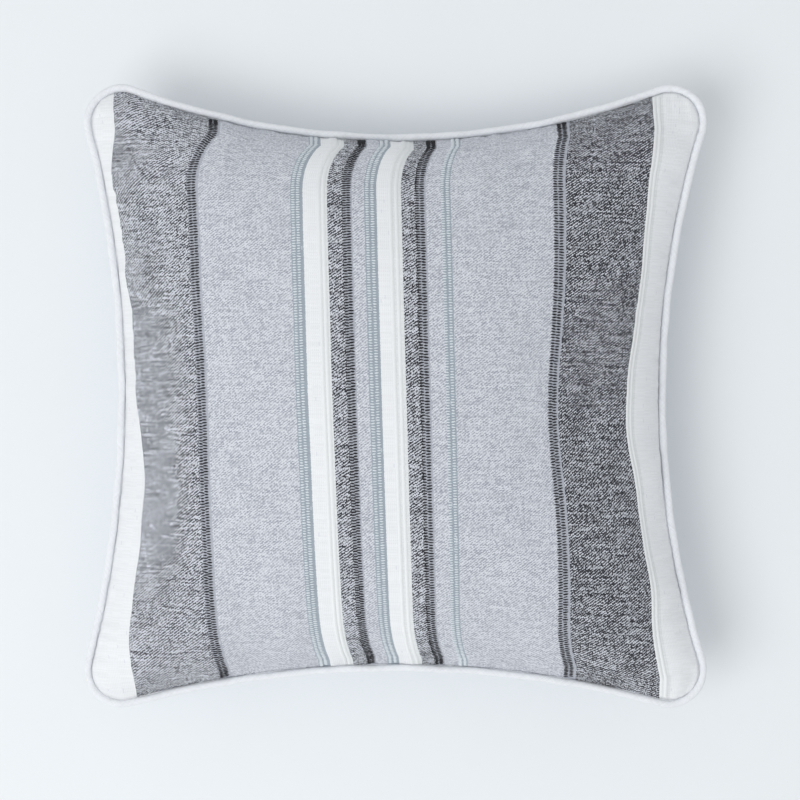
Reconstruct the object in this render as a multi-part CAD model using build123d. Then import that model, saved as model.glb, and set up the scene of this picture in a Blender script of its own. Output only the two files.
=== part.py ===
"""Square throw pillow lying on its back, front face up: a piped, zipped cushion cover over a stuffed pad.

Millimetres. The origin is on the surface it rests on, under the middle of the seam. +X runs across the
stripes of the front, +Y runs along them, away from the zip, and +Z is up out of the front panel.

The cover's seam is a flat outline of eight tangent arcs: four long sides that curve inwards and four
rounded corners. Everything near the seam is that outline moved inwards, so a place there is given by its
inset from the seam line and its height above the seam plane.
"""

from build123d import *
import math
import os

# Cover
span_x = 434.8  # across the seam line, from corner to corner
span_y = 434.8
pull_in_bottom = 25.5  # how far each side's middle is drawn in
pull_in_right = 29.0
pull_in_top = 35.0
pull_in_left = 24.0
corner_radius = 24.0  # of the seam line
front_crown = 74.0  # the front's height above the seam plane
back_crown = 68.0  # the seam plane's height above the floor
front_flattening = 1.0  # how much higher the front would swell without its slightly flat middle
back_flattening = 8.0  # and the back, which its own weight flattens against the floor
fabric_thickness = 0.8
seam_allowance = 10.0
allowance_gap = 0.03  # between the panels' seam allowances and the piping's flange

# Piping
piping_radius = 2.6
piping_cord_radius = 2.05
cord_clearance = 0.05
piping_flange_thickness = 1.0  # two layers of the strip
seam_thread_radius = 0.25
seam_thread_inset = 4.6

# Zip, set into the seam of the side towards -Y
zip_length = 320.0  # of the opening, measured along the coils
zip_slope_deg = 62.0  # of the tape below the horizontal
zip_depth = 9.0  # from the seam down the slope to the middle of the coils
zip_tape_width = 10.5
zip_tape_thickness = 0.55
tape_clearance = 0.25  # between the tapes and the panel's cloth
tape_start = 1.2  # down the slope from the panel's edge to the top of the tape
zip_pitch = 1.27
coil_height = 1.3
coil_reach = 2.15  # from the middle of the chain to the back of a coil
coil_overlap = 0.45  # how far a loop reaches past the middle
loop_width = 0.55
tape_gap = 0.25  # from the middle to the edge of each tape
fold_gap = 4.7  # from the middle to the back panel's folded edge
stop_length = 2.4
stop_margin = 0.2  # how much wider and thicker the stops are than the coils
bottom_stop_place = 0.6  # its middle from the end of the opening, in stop lengths
first_loop_place = 1.6  # and the first loop's
stop_gap = 0.3  # between the closed zip's slider and its stops
topstitch_margin = 3.0  # from the panel's folded edge to its row of stitches
topstitch_radius = 0.3
topstitch_bite = 0.2  # how deep the thread is drawn into the cloth

# Slider
slider_length = 9.4
slider_front_half_width = 3.9
slider_rear_half_width = 3.1
slider_plate = 0.9
slider_clearance = 0.15
slider_under_clearance = 0.2  # between the tapes and the lower plate
channel_flare = 3.0  # how much wider the channel is, each side, one slider length in front
slider_lip = 1.1
slider_corner = 1.1
tape_parting_room = 0.3  # between the tapes and the slider's wedge
top_stop_room = 0.4  # and between the top stops and the wedge's line
stop_corner = 0.3
tape_fold = 1.2  # from the panels' edge to the fold of the tape on the piping's side
tape_seat = 0.02  # between that tape and the flange, and off the tapes' ends in degrees
tape_hang = 0.25  # how far below the flange the tape begins to hang
window_margin = 3.0  # how far the zip's window reaches past the panel's folded edge
slider_weld = 0.1  # how far the wedge runs into the plates
wedge_half_width = 1.1
wedge_length = 3.4
bridge_width = 1.8
bridge_leg = 1.0
bridge_crown = 0.8
bridge_corner = 0.7
bridge_weld = 0.2  # how far the bridge runs into the plate

# Pull tab
tab_length = 24.0
tab_width = 5.0
tab_thickness = 1.1
tab_bar_radius = 0.6
tab_bar_clearance = 0.15
tab_window_gap = 0.3
tab_hole_radius = 1.1
tab_hole_margin = 3.2  # from the tab's end to the middle of its hole
tab_corner = 1.8

# Pad
pad_gap = 1.0  # between the cover and the pad
pad_rim_gap = 11.0  # how much further in the pad's rim lies than the cover's
pad_rim_fade = 14.0
pad_case_thickness = 0.5
filling_clearance = 0.15
pad_thread_radius = 0.3
pad_opening_share = 0.6  # of the zip's length, closed by the thread

# How the cover swells between its seam and its crown
swell_plan_power = 2.3
swell_height_power = 2.0
rim_slope_height = 20.0  # up to here each side rises at the zip's slope
rim_corner_growth = 14.0  # how much rounder the corners are there than at the seam
crown_bend = 0.82  # the round contours' curvature, times the distance of their sides from the centre
bend_start = 0.05  # how far in from the rim the sides begin to turn round, as a share of the half width
bend_rate = 1.9
crown_corner = 0.78  # the corners' radius near the middle, as a share of what is left of the half width
corner_rate = 1.25
pad_corner_share = 0.45  # how much of the pad's extra inset comes off its corners

half_x = span_x / 2
half_y = span_y / 2
slope = math.radians(zip_slope_deg)
panel_inset = piping_radius + 0.2  # where the panels leave the piping
flange_half = piping_flange_thickness / 2


# ---------------------------------------------------------------- outlines in plan

SIDES = {
    "bottom": ((0, -1), half_y, pull_in_bottom, half_x),
    "right": ((1, 0), half_x, pull_in_right, half_y),
    "top": ((0, 1), half_y, pull_in_top, half_x),
    "left": ((-1, 0), half_x, pull_in_left, half_y),
}


def seam_middle(side):
    """The distance from the centre to the middle of a side's seam line."""
    _, half_across, pull_in, _ = SIDES[side]
    return half_across - pull_in


def mean_middle():
    """The mean distance from the centre to the middles of the seam line's sides."""
    return sum(seam_middle(side) for side in SIDES) / len(SIDES)


def seam_bow(side):
    """The radius of a side's seam line, which is tangent to both of its corners."""
    _, half_across, _, half_along = SIDES[side]
    middle = seam_middle(side)
    across = half_across - corner_radius
    along = half_along - corner_radius
    square = along**2 + (middle - across) ** 2 - corner_radius**2
    return square / (2 * (corner_radius + across - middle))


def circle_crossing(centre_a, radius_a, centre_b, radius_b, near):
    """The point where two circles cross that lies nearest to a place."""
    apart = (centre_b - centre_a).length
    along = (apart**2 + radius_a**2 - radius_b**2) / (2 * apart)
    off = math.sqrt(max(radius_a**2 - along**2, 0))
    unit = (centre_b - centre_a).normalized()
    side = Vector(-unit.Y, unit.X, 0)
    found = [centre_a + unit * along + side * s for s in (off, -off)]
    return min(found, key=lambda p: (p - near).length)


def outline(inset, height=0.0, bend=0.0, corner=None):
    """The seam line moved inwards by inset, as a wire of eight arcs.

    bend turns the sides from their own inward curve, at 0, to a round one that is the same on all four, at
    1. corner is the corners' radius, which is the seam's own less the inset if it isn't given.
    """
    radius = corner_radius - inset if corner is None else corner
    names = list(SIDES)
    middles = {}
    bows = {}
    centres = {}
    for name in names:
        middle = seam_middle(name) + bend * (mean_middle() - seam_middle(name)) - inset
        curve = (1 - bend) / (seam_bow(name) + inset) - bend * crown_bend / middle
        middles[name] = Vector(*SIDES[name][0], 0) * middle
        bows[name] = 1 / curve
        centres[name] = Vector(*SIDES[name][0], 0) * (middle + bows[name])
    corners = []
    for name, after in zip(names, names[1:] + names[:1]):
        near = Vector(*SIDES[name][0], 0) * (SIDES[name][1] - inset)
        near += Vector(*SIDES[after][0], 0) * (SIDES[after][1] - inset)
        reach_a = abs(bows[name] + radius)
        reach_b = abs(bows[after] + radius)
        corners.append(circle_crossing(centres[name], reach_a, centres[after], reach_b, near))

    def touch(name, corner_centre):
        share = bows[name] / (bows[name] + radius)
        return centres[name] + (corner_centre - centres[name]) * share

    up = Vector(0, 0, height)
    edges = []
    for k, name in enumerate(names):
        start = touch(name, corners[k - 1])
        end = touch(name, corners[k])
        edges.append(ThreePointArc(start + up, middles[name] + up, end + up))
        after = names[(k + 1) % len(names)]
        following = touch(after, corners[k])
        outwards = ((end - corners[k]) + (following - corners[k])).normalized()
        tip = corners[k] + outwards * radius
        edges.append(ThreePointArc(end + up, tip + up, following + up))
    return Wire([e.edge() for e in edges])


# ---------------------------------------------------------------- swollen shells

RIM_SHARES = (0.0, 0.35, 0.7, 1.0)  # where the contours of the rim's straight slope stand
DOME_SHARES = (0.18, 0.36, 0.54, 0.70, 0.83, 0.92, 0.975, 1.0)  # and those of the dome above it


def swell_inset(height, full, half):
    """How far in from the seam a side has come at a height, on its way to a full height."""
    rim = rim_slope_height / math.tan(slope)
    if height < rim_slope_height:
        return height / math.tan(slope)
    share = (height / full) ** swell_height_power
    at_rim = (rim_slope_height / full) ** swell_height_power
    curve = (1 - share) ** (1 / swell_plan_power)
    first = (1 - at_rim) ** (1 / swell_plan_power)
    return rim + (half - rim) * (first - curve) / first


def levels(up):
    """The contours of the front if up is 1, or of the back if up is -1, from the seam to the flat middle.

    Each is its inset from the panel's edge, its height, its bend and its corners' radius.
    """
    crown = front_crown if up > 0 else back_crown
    full = crown + (front_flattening if up > 0 else back_flattening)
    half = mean_middle() - panel_inset
    result = []
    for share in RIM_SHARES:
        height = share * rim_slope_height
        corner = corner_radius - panel_inset + rim_corner_growth * share
        result.append((swell_inset(height, full, half), height, 0.0, corner))
    for share in DOME_SHARES:
        height = rim_slope_height + share * (crown - rim_slope_height)
        inset = swell_inset(height, full, half)
        gone = inset / half
        bend = min(1.0, bend_rate * (gone - bend_start))
        middle_corner = crown_corner * (half - inset)
        rim_corner = corner_radius - panel_inset + rim_corner_growth
        corner = rim_corner + (middle_corner - rim_corner) * min(1.0, corner_rate * gone)
        result.append((inset, height, bend, corner))
    return result


def moved_in(contours, offset):
    """The contours of the surface that lies inside another by offset, at right angles to it."""
    result = []
    for k, (inset, height, bend, corner) in enumerate(contours):
        before = contours[max(k - 1, 0)]
        after = contours[min(k + 1, len(contours) - 1)]
        run = after[0] - before[0]
        rise = after[1] - before[1]
        size = math.hypot(run, rise)
        across = offset * rise / size
        down = offset * run / size
        if k == len(contours) - 1:
            across, down = 0.0, offset
        result.append((inset + across, height - down, bend, corner - across))
    return result


def swollen(contours, up):
    """A solid from the seam plane to the crown, above it if up is 1 and below it if up is -1."""
    wires = [outline(panel_inset + i, up * z, b, r) for i, z, b, r in contours]
    last_of_rim = len(RIM_SHARES) - 1
    rim = Solid.make_loft(wires[: last_of_rim + 1], ruled=True)
    return rim + Solid.make_loft(wires[last_of_rim:])


def pad_levels(up):
    """The pad's contours: the cover's inner surface, drawn in further at the rim."""
    result = []
    for inset, height, bend, corner in moved_in(levels(up), fabric_thickness + pad_gap):
        extra = pad_rim_gap * math.exp(-((max(height, 0) / pad_rim_fade) ** 2))
        result.append((inset + extra, height, bend, corner - pad_corner_share * extra))
    return result


def slab(low, high):
    """A wide block between two heights, to cut with."""
    size = 2 * (span_x + span_y)
    return Solid.make_box(size, size, high - low, Plane(origin=(-size / 2, -size / 2, low)))


def ring(outer_inset, inner_inset, low, high):
    """A flat ring that follows the seam, between two insets and two heights."""
    outer = Face(outline(outer_inset, low))
    inner = Face(outline(inner_inset, low))
    return extrude(outer - inner, high - low, dir=(0, 0, 1))


def seam_tube(inset, radius):
    """A round bar all the way round, at an inset in the seam plane."""
    path = outline(inset)
    start = path.position_at(0)
    section = Face(Wire(Edge.make_circle(radius, Plane(origin=start, z_dir=path.tangent_at(0)))))
    return Solid.sweep(section, path)


# ---------------------------------------------------------------- the zip's own frame

zip_bow_radius = seam_bow("bottom")
zip_centre = Vector(0, -(seam_middle("bottom") + zip_bow_radius), 0)
down_slope = Vector(0, math.cos(slope), -math.sin(slope))
outwards = Vector(0, -math.sin(slope), -math.cos(slope))
under_panel = fabric_thickness + tape_clearance  # the tapes' outer faces, under the panel's outer face
panel_edge = Vector(0, -seam_middle("bottom") + panel_inset, 0)
chain_middle = panel_edge + down_slope * (zip_depth + tape_start) - outwards * under_panel
chain_radius = (chain_middle - zip_centre).Y
zip_half_angle = math.degrees(zip_length / 2 / chain_radius)
slider_angle = zip_half_angle - math.degrees((slider_length / 2 + stop_length + stop_gap) / chain_radius)
pitch_angle = math.degrees(zip_pitch / chain_radius)


def chain_point(across, out):
    """A point of the zip's section: across is down the slope from the chain's middle, out is outwards."""
    return chain_middle + down_slope * across + outwards * out


def seam_point(inset, height):
    """A point of the section through the middle of the zip's side, by its inset and height."""
    return Vector(0, -seam_middle("bottom") + inset, height)


def along_zip(points, start_deg, end_deg):
    """A bar with that section, from one angle along the zip to another. Angles grow towards +X."""
    face = Face(Wire.make_polygon(points))
    axis = Axis(zip_centre, (0, 0, 1))
    turned = face.rotate(axis, -start_deg)
    return revolve(turned, axis=axis, revolution_arc=-(end_deg - start_deg))


def band(across_a, across_b, out_a, out_b):
    """The corners of a rectangle in the zip's section."""
    return [
        chain_point(across_a, out_a),
        chain_point(across_b, out_a),
        chain_point(across_b, out_b),
        chain_point(across_a, out_b),
    ]


def zip_place(angle_deg):
    """The frame of the chain at an angle: x along the zip, y towards the piping, z outwards."""
    plane = Plane(origin=chain_middle, x_dir=(1, 0, 0), z_dir=outwards)
    return Location(plane) if angle_deg == 0 else turned_about_zip(Location(plane), angle_deg)


def turned_about_zip(location, angle_deg):
    """A location carried along the zip by an angle, towards +X."""
    carry = Location(zip_centre) * Location((0, 0, 0), (0, 0, -angle_deg)) * Location(-zip_centre)
    return carry * location


# ---------------------------------------------------------------- cover


def panel_allowance(low):
    """The flat ring of a panel's cloth that is sewn into the seam, from its underside."""
    return ring(panel_inset + fabric_thickness, panel_inset + seam_allowance, low, low + fabric_thickness)


def front_panel():
    """The front's cloth, with its seam allowance turned in over the piping's flange."""
    outer = levels(1)
    shell = swollen(outer, 1) - swollen(moved_in(outer, fabric_thickness), 1)
    shell = shell & slab(flange_half, front_crown + 1)
    return shell + panel_allowance(flange_half + allowance_gap)


def zip_window():
    """What the back panel leaves open for the zip, from the seam to the panel's folded edge."""
    allowance_end = panel_inset + seam_allowance + 1
    section = [
        seam_point(1.5, -flange_half + 0.1),
        seam_point(allowance_end, -flange_half + 0.1),
        seam_point(allowance_end, -flange_half - fabric_thickness - 0.2),
        chain_point(fold_gap, -window_margin),
        chain_point(fold_gap, window_margin),
    ]
    return along_zip(section, -zip_half_angle, zip_half_angle)


def back_panel():
    """The back's cloth, flat where it rests, with the zip's window along the side towards -Y."""
    outer = levels(-1)
    shell = swollen(outer, -1) - swollen(moved_in(outer, fabric_thickness), -1)
    shell = shell & slab(-back_crown - 1, -flange_half)
    allowance = panel_allowance(-flange_half - allowance_gap - fabric_thickness)
    return (shell + allowance) - zip_window()


def piping_cover():
    """The bias strip: a tube round the cord, and the flange of two layers that the seam catches."""
    flange = ring(
        (piping_radius + piping_cord_radius) / 2,
        panel_inset + seam_allowance,
        -flange_half,
        flange_half,
    )
    strip = seam_tube(0, piping_radius) + flange
    strip = strip - seam_tube(0, piping_cord_radius + cord_clearance)
    return strip - seam_tube(seam_thread_inset, seam_thread_radius)


# ---------------------------------------------------------------- zip


def tape_parting():
    """The room that the two tapes leave round the slider's wedge, where the zip is closed."""
    length = slider_length / 2 + stop_length
    width = 2 * (wedge_half_width + tape_parting_room)
    cut = Box(length, width, 4 * coil_height, align=(Align.MIN, Align.CENTER, Align.CENTER))
    return zip_place(slider_angle) * cut


def zip_tape_seam_side():
    """The tape on the piping's side, turned in under the flange."""
    fold = panel_inset + tape_fold
    end = panel_inset + seam_allowance
    top = -flange_half - tape_seat
    flat = [
        seam_point(fold, top),
        seam_point(end, top),
        seam_point(end, top - zip_tape_thickness),
        seam_point(fold, top - zip_tape_thickness),
    ]
    hanging = band(tape_hang - zip_depth, -tape_gap, -zip_tape_thickness, 0)
    end = zip_half_angle - tape_seat
    return along_zip(flat, -end, end) + along_zip(hanging, -end, end) - tape_parting()


def zip_tape_back_side():
    """The tape on the back panel's side, which lies under the panel's folded edge."""
    section = band(tape_gap, zip_tape_width, -zip_tape_thickness, 0)
    end = zip_half_angle - tape_seat
    return along_zip(section, -end, end) - tape_parting()


def coil_angles(shift):
    """Where the loops of one coil stand, from the bottom stop to the slider's middle."""
    first = -zip_half_angle + math.degrees(first_loop_place * stop_length / chain_radius)
    count = int((slider_angle - first) / pitch_angle - shift)
    return [first + (k + shift) * pitch_angle for k in range(count)]


def coil(side, shift):
    """One row of loops. side is 1 for the row towards the piping and -1 for the other."""
    size = coil_reach + coil_overlap
    middle = side * (coil_reach - coil_overlap) / 2
    loop = extrude(SlotOverall(size, coil_height), loop_width / 2, both=True)
    upright = loop.rotate(Axis.X, 90).rotate(Axis.Z, 90).moved(Location((0, middle, coil_height / 2)))
    return Compound(children=[zip_place(a) * upright for a in coil_angles(shift)])


def stop_block(low, high, angle_deg):
    """A crimped stop over the coils, between two distances from the middle, towards the piping."""
    height = coil_height + stop_margin
    block = Box(stop_length, high - low, height, align=(Align.CENTER, Align.MIN, Align.MIN))
    block = fillet(block.edges().group_by(Axis.Z)[-1], stop_corner)
    return zip_place(angle_deg) * block.moved(Location((0, low, 0)))


def zip_top_stops():
    """The two stops that the slider meets when the zip is closed."""
    angle = zip_half_angle - math.degrees(stop_length / 2 / chain_radius)
    outer = coil_reach + stop_margin
    inner = wedge_half_width + top_stop_room
    return Compound(children=[stop_block(inner, outer, angle), stop_block(-outer, -inner, angle)])


def zip_bottom_stop():
    """The stop across both coils where the opening ends."""
    angle = -zip_half_angle + math.degrees(stop_length * bottom_stop_place / chain_radius)
    outer = coil_reach + stop_margin
    return stop_block(-outer, outer, angle)


def slider_plan(height, low):
    """A slider plate with rounded corners, from low up by height, in the slider's own frame."""
    end = slider_length / 2
    front, rear = slider_front_half_width, slider_rear_half_width
    points = [(-end, -rear), (end, -front), (end, front), (-end, rear)]
    plate = Face(Wire.make_polygon([Vector(x, y, low) for x, y in points]))
    solid = Solid.extrude(plate, Vector(0, 0, height))
    return fillet(solid.edges().filter_by(Axis.Z), slider_corner)


def zip_slider():
    """The slider's body: two plates, the wedge that parts the coils, side lips and the bridge."""
    top = coil_height + slider_clearance
    bottom = -zip_tape_thickness - slider_under_clearance
    body = slider_plan(slider_plate, top)
    body += slider_plan(slider_plate, bottom - slider_plate)
    body += slider_plan(slider_lip, top - slider_lip) - slider_channel(top - 2 * slider_lip)
    tip = slider_length / 2
    low = bottom - slider_weld
    wedge = [
        Vector(tip - wedge_length, 0, low),
        Vector(tip - wedge_length / 2, -wedge_half_width, low),
        Vector(tip, 0, low),
        Vector(tip - wedge_length / 2, wedge_half_width, low),
    ]
    height = top - bottom + 2 * slider_weld
    body += Solid.extrude(Face(Wire.make_polygon(wedge)), Vector(0, 0, height))
    return zip_place(slider_angle) * (body + slider_bridge(top + slider_plate))


def slider_channel(low):
    """The room between the side lips, which widens towards the slider's front, from low up."""
    channel = coil_reach + slider_clearance
    flared = channel + channel_flare
    far = slider_length
    points = [(-far, -channel), (0, -channel), (far, -flared), (far, flared), (0, channel), (-far, channel)]
    face = Face(Wire.make_polygon([Vector(x, y, low) for x, y in points]))
    return Solid.extrude(face, Vector(0, 0, 4 * slider_lip))


bar_height = tab_bar_radius + tab_bar_clearance  # of the pull tab's bar above the top plate
bridge_half = tab_bar_radius + bridge_crown + bridge_leg


def slider_bridge(base):
    """The arch along the slider that holds the pull tab's bar."""
    room = bar_height + tab_bar_radius + tab_bar_clearance
    standing = (Align.CENTER, Align.CENTER, Align.MIN)
    arch = Box(2 * bridge_half, bridge_width, room + bridge_crown + bridge_weld, align=standing)
    arch = fillet(arch.edges().group_by(Axis.Z)[-1].filter_by(Axis.Y), bridge_corner)
    hole = Box(2 * (bridge_half - bridge_leg), 2 * bridge_width, room + bridge_weld, align=standing)
    return (arch - hole).moved(Location((0, 0, base - bridge_weld)))


def zip_pull():
    """The pull tab, lying back along the closed chain, with its bar under the bridge."""
    window = bridge_half + tab_window_gap - tab_bar_radius
    inner = bridge_width / 2 + tab_window_gap
    plate = Box(tab_length, tab_width, tab_thickness, align=(Align.MAX, Align.CENTER, Align.CENTER))
    plate = fillet(plate.edges().filter_by(Axis.Z).group_by(Axis.X)[0], tab_corner)
    through = 3 * tab_thickness
    lying = (Align.MAX, Align.CENTER, Align.CENTER)
    opening = Box(window + tab_bar_radius, 2 * inner, through, align=lying)
    far_hole = Cylinder(tab_hole_radius, through).moved(Location((tab_hole_margin - tab_length, 0, 0)))
    bar = Cylinder(tab_bar_radius, tab_width).rotate(Axis.X, 90)
    plate = (plate - opening - far_hole) + bar
    height = coil_height + slider_clearance + slider_plate + bar_height
    return zip_place(slider_angle) * plate.moved(Location((0, 0, height)))


def zip_topstitch():
    """The thread that holds the back panel's fold to its tape."""
    centre = chain_point(fold_gap + topstitch_margin, under_panel + topstitch_radius - topstitch_bite)
    circle = Face(Wire(Edge.make_circle(topstitch_radius, Plane(origin=centre, z_dir=(1, 0, 0)))))
    axis = Axis(zip_centre, (0, 0, 1))
    turned = circle.rotate(axis, zip_half_angle)
    return revolve(turned, axis=axis, revolution_arc=-2 * zip_half_angle)


# ---------------------------------------------------------------- pad


def pad_half(up, offset):
    """The pad's front half if up is 1 or back half if up is -1, less a layer of its outside."""
    contours = pad_levels(up)
    solid = swollen(moved_in(contours, offset) if offset else contours, up)
    return solid & (slab(0, front_crown) if up > 0 else slab(-back_crown, 0))


def pad_case(up):
    """One of the pad case's two panels."""
    return pad_half(up, 0) - pad_half(up, pad_case_thickness)


def pad_filling():
    """The filling, one soft block."""
    offset = pad_case_thickness + filling_clearance
    return pad_half(1, offset) + pad_half(-1, offset)


def pad_seam_thread():
    """The thread that closes the pad along its side towards -Y."""
    inset = panel_inset + pad_levels(-1)[0][0] - pad_thread_radius
    middle = seam_point(inset, 0)
    circle = Face(Wire(Edge.make_circle(pad_thread_radius, Plane(origin=middle, z_dir=(1, 0, 0)))))
    axis = Axis(zip_centre, (0, 0, 1))
    half = zip_half_angle * pad_opening_share
    return revolve(circle.rotate(axis, half), axis=axis, revolution_arc=-2 * half)


# ---------------------------------------------------------------- export

PARTS = {
    "front_panel": front_panel,
    "back_panel": back_panel,
    "piping_cover": piping_cover,
    "piping_cord": lambda: seam_tube(0, piping_cord_radius),
    "seam_thread": lambda: seam_tube(seam_thread_inset, seam_thread_radius),
    "zip_tape_seam_side": zip_tape_seam_side,
    "zip_tape_back_side": zip_tape_back_side,
    "zip_coil_seam_side": lambda: coil(1, 0.0),
    "zip_coil_back_side": lambda: coil(-1, 0.5),
    "zip_top_stops": zip_top_stops,
    "zip_bottom_stop": zip_bottom_stop,
    "zip_slider": zip_slider,
    "zip_pull": zip_pull,
    "zip_topstitch": zip_topstitch,
    "pad_case_front": lambda: pad_case(1),
    "pad_case_back": lambda: pad_case(-1),
    "pad_filling": pad_filling,
    "pad_seam_thread": pad_seam_thread,
}

os.makedirs("parts", exist_ok=True)
for node, make in PARTS.items():
    shape = make().moved(Location((0, 0, back_crown)))
    box = shape.bounding_box()
    solids = shape.solids()
    export_step(shape, f"parts/{node}.step")
    print(node, len(solids), round(sum(s.volume for s in solids), 1), box.min, box.max)

print("zip centre", zip_centre, "radius", chain_radius, "slider", slider_angle, "end", zip_half_angle)
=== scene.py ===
"""The finished look of a square piped throw pillow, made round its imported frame.

The front is a yarn-striped cloth with raised ladder and rib yarns, the back a plain cloth with a zip let
into its lower seam, and the edge a corded strip. Both panels are flat cuts that a cloth simulation swells
between their sewn edges. Lengths are metres, unless a name ends in _mm; +X runs across the stripes, +Y
along them and +Z out of the front.
"""

import logging
import math
from dataclasses import dataclass, field
from enum import Enum
from typing import Union

import bpy
import numpy as np
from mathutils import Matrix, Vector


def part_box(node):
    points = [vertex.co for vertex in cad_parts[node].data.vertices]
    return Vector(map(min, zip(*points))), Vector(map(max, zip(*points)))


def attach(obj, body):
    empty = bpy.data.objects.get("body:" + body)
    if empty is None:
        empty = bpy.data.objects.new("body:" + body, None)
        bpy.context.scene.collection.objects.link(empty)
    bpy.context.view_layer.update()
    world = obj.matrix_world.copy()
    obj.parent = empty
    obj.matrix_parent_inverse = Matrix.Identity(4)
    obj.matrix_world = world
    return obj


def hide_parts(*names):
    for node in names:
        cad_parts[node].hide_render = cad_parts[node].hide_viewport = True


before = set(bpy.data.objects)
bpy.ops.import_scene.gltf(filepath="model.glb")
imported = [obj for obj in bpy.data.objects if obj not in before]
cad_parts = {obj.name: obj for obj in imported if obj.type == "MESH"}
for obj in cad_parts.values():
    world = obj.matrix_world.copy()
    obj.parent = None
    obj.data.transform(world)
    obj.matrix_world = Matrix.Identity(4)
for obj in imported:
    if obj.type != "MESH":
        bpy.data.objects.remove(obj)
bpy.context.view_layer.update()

LOG = logging.getLogger("pillow")
MM = 0.001
CUSHION = "cushion"  # the body that every added piece rides on


# ---------------------------------------------------------------- node trees as expressions


class Sock:
    """An output socket whose arithmetic adds Math nodes to the tree it stands in."""

    def __init__(self, tree: "Tree", socket: bpy.types.NodeSocket) -> None:
        """Keeps the tree and the socket."""
        self.tree = tree
        self.socket = socket

    def out(self, key: Union[int, str]) -> "Sock":
        """Another output of the same node."""
        return Sock(self.tree, find_socket(self.socket.node.outputs, key))

    def _math(self, operation: str, *values: "Operand") -> "Sock":
        """A Math node on the given values."""
        return self.tree.node("ShaderNodeMath", {"operation": operation}, dict(enumerate(values)))

    def __add__(self, other: "Operand") -> "Sock":
        """self + other."""
        return self._math("ADD", self, other)

    def __radd__(self, other: "Operand") -> "Sock":
        """other + self."""
        return self._math("ADD", other, self)

    def __sub__(self, other: "Operand") -> "Sock":
        """self - other."""
        return self._math("SUBTRACT", self, other)

    def __rsub__(self, other: "Operand") -> "Sock":
        """other - self."""
        return self._math("SUBTRACT", other, self)

    def __mul__(self, other: "Operand") -> "Sock":
        """self * other."""
        return self._math("MULTIPLY", self, other)

    def __rmul__(self, other: "Operand") -> "Sock":
        """other * self."""
        return self._math("MULTIPLY", other, self)

    def __truediv__(self, other: "Operand") -> "Sock":
        """self / other."""
        return self._math("DIVIDE", self, other)

    def __neg__(self) -> "Sock":
        """Minus self."""
        return self._math("MULTIPLY", self, -1.0)

    def __mod__(self, other: "Operand") -> "Sock":
        """The remainder of self over other, never negative."""
        return self._math("FLOORED_MODULO", self, other)

    def __pow__(self, other: "Operand") -> "Sock":
        """self to a power."""
        return self._math("POWER", self, other)

    def over(self, edge: "Operand") -> "Sock":
        """1 where self is greater than edge, else 0."""
        return self._math("GREATER_THAN", self, edge)

    def floor(self) -> "Sock":
        """The whole number below self."""
        return self._math("FLOOR", self)

    def fraction(self) -> "Sock":
        """What is left above the whole number."""
        return self._math("FRACT", self)

    def sine(self) -> "Sock":
        """The sine of self, in radians."""
        return self._math("SINE", self)

    def size(self) -> "Sock":
        """self without its sign."""
        return self._math("ABSOLUTE", self)

    def least(self, other: "Operand") -> "Sock":
        """The smaller of the two."""
        return self._math("MINIMUM", self, other)

    def most(self, other: "Operand") -> "Sock":
        """The larger of the two."""
        return self._math("MAXIMUM", self, other)

    def unit(self) -> "Sock":
        """self held between 0 and 1."""
        return self.most(0.0).least(1.0)


Operand = Union[Sock, float]


def find_socket(sockets: object, key: Union[int, str]) -> bpy.types.NodeSocket:
    """The socket with an index, or the first enabled one with a name.

    Args:
        sockets: a node's inputs or outputs.
        key: an index, a name or an identifier.

    Returns:
        The socket.
    """
    if isinstance(key, int):
        return sockets[key]
    for socket in sockets:
        if socket.enabled and key in (socket.name, socket.identifier):
            return socket
    return next(s for s in sockets if key in (s.name, s.identifier))


@dataclass
class Tree:
    """A node tree and the one method that adds nodes to it."""

    nodes: bpy.types.NodeTree

    def node(
        self, kind: str, settings: dict = None, inputs: dict = None, output: Union[int, str] = 0
    ) -> Sock:
        """Adds a node.

        Args:
            kind: the node's type.
            settings: its properties, set first; stops are a ramp's (place, colour) pairs.
            inputs: values or Socks by socket index or name.
            output: which output comes back.

        Returns:
            That output.
        """
        made = self.nodes.nodes.new(kind)
        for name, value in (settings or {}).items():
            if name == "stops":
                set_stops(made.color_ramp, value)
            elif name == "spread":
                made.color_ramp.interpolation = value
            else:
                setattr(made, name, value)
        for key, value in (inputs or {}).items():
            socket = find_socket(made.inputs, key)
            if isinstance(value, Sock):
                self.nodes.links.new(value.socket, socket)
            else:
                socket.default_value = value
        return Sock(self, find_socket(made.outputs, output))


def set_stops(ramp: bpy.types.ColorRamp, stops: list) -> None:
    """Gives a ramp its stops, each a place and a grey or a colour.

    Args:
        ramp: the ramp.
        stops: its pairs of place and colour.
    """
    while len(ramp.elements) < len(stops):
        ramp.elements.new(1.0)
    for element, (place, value) in zip(ramp.elements, stops):
        element.position = place
        element.color = (value, value, value, 1.0) if isinstance(value, float) else (*value, 1.0)


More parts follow.
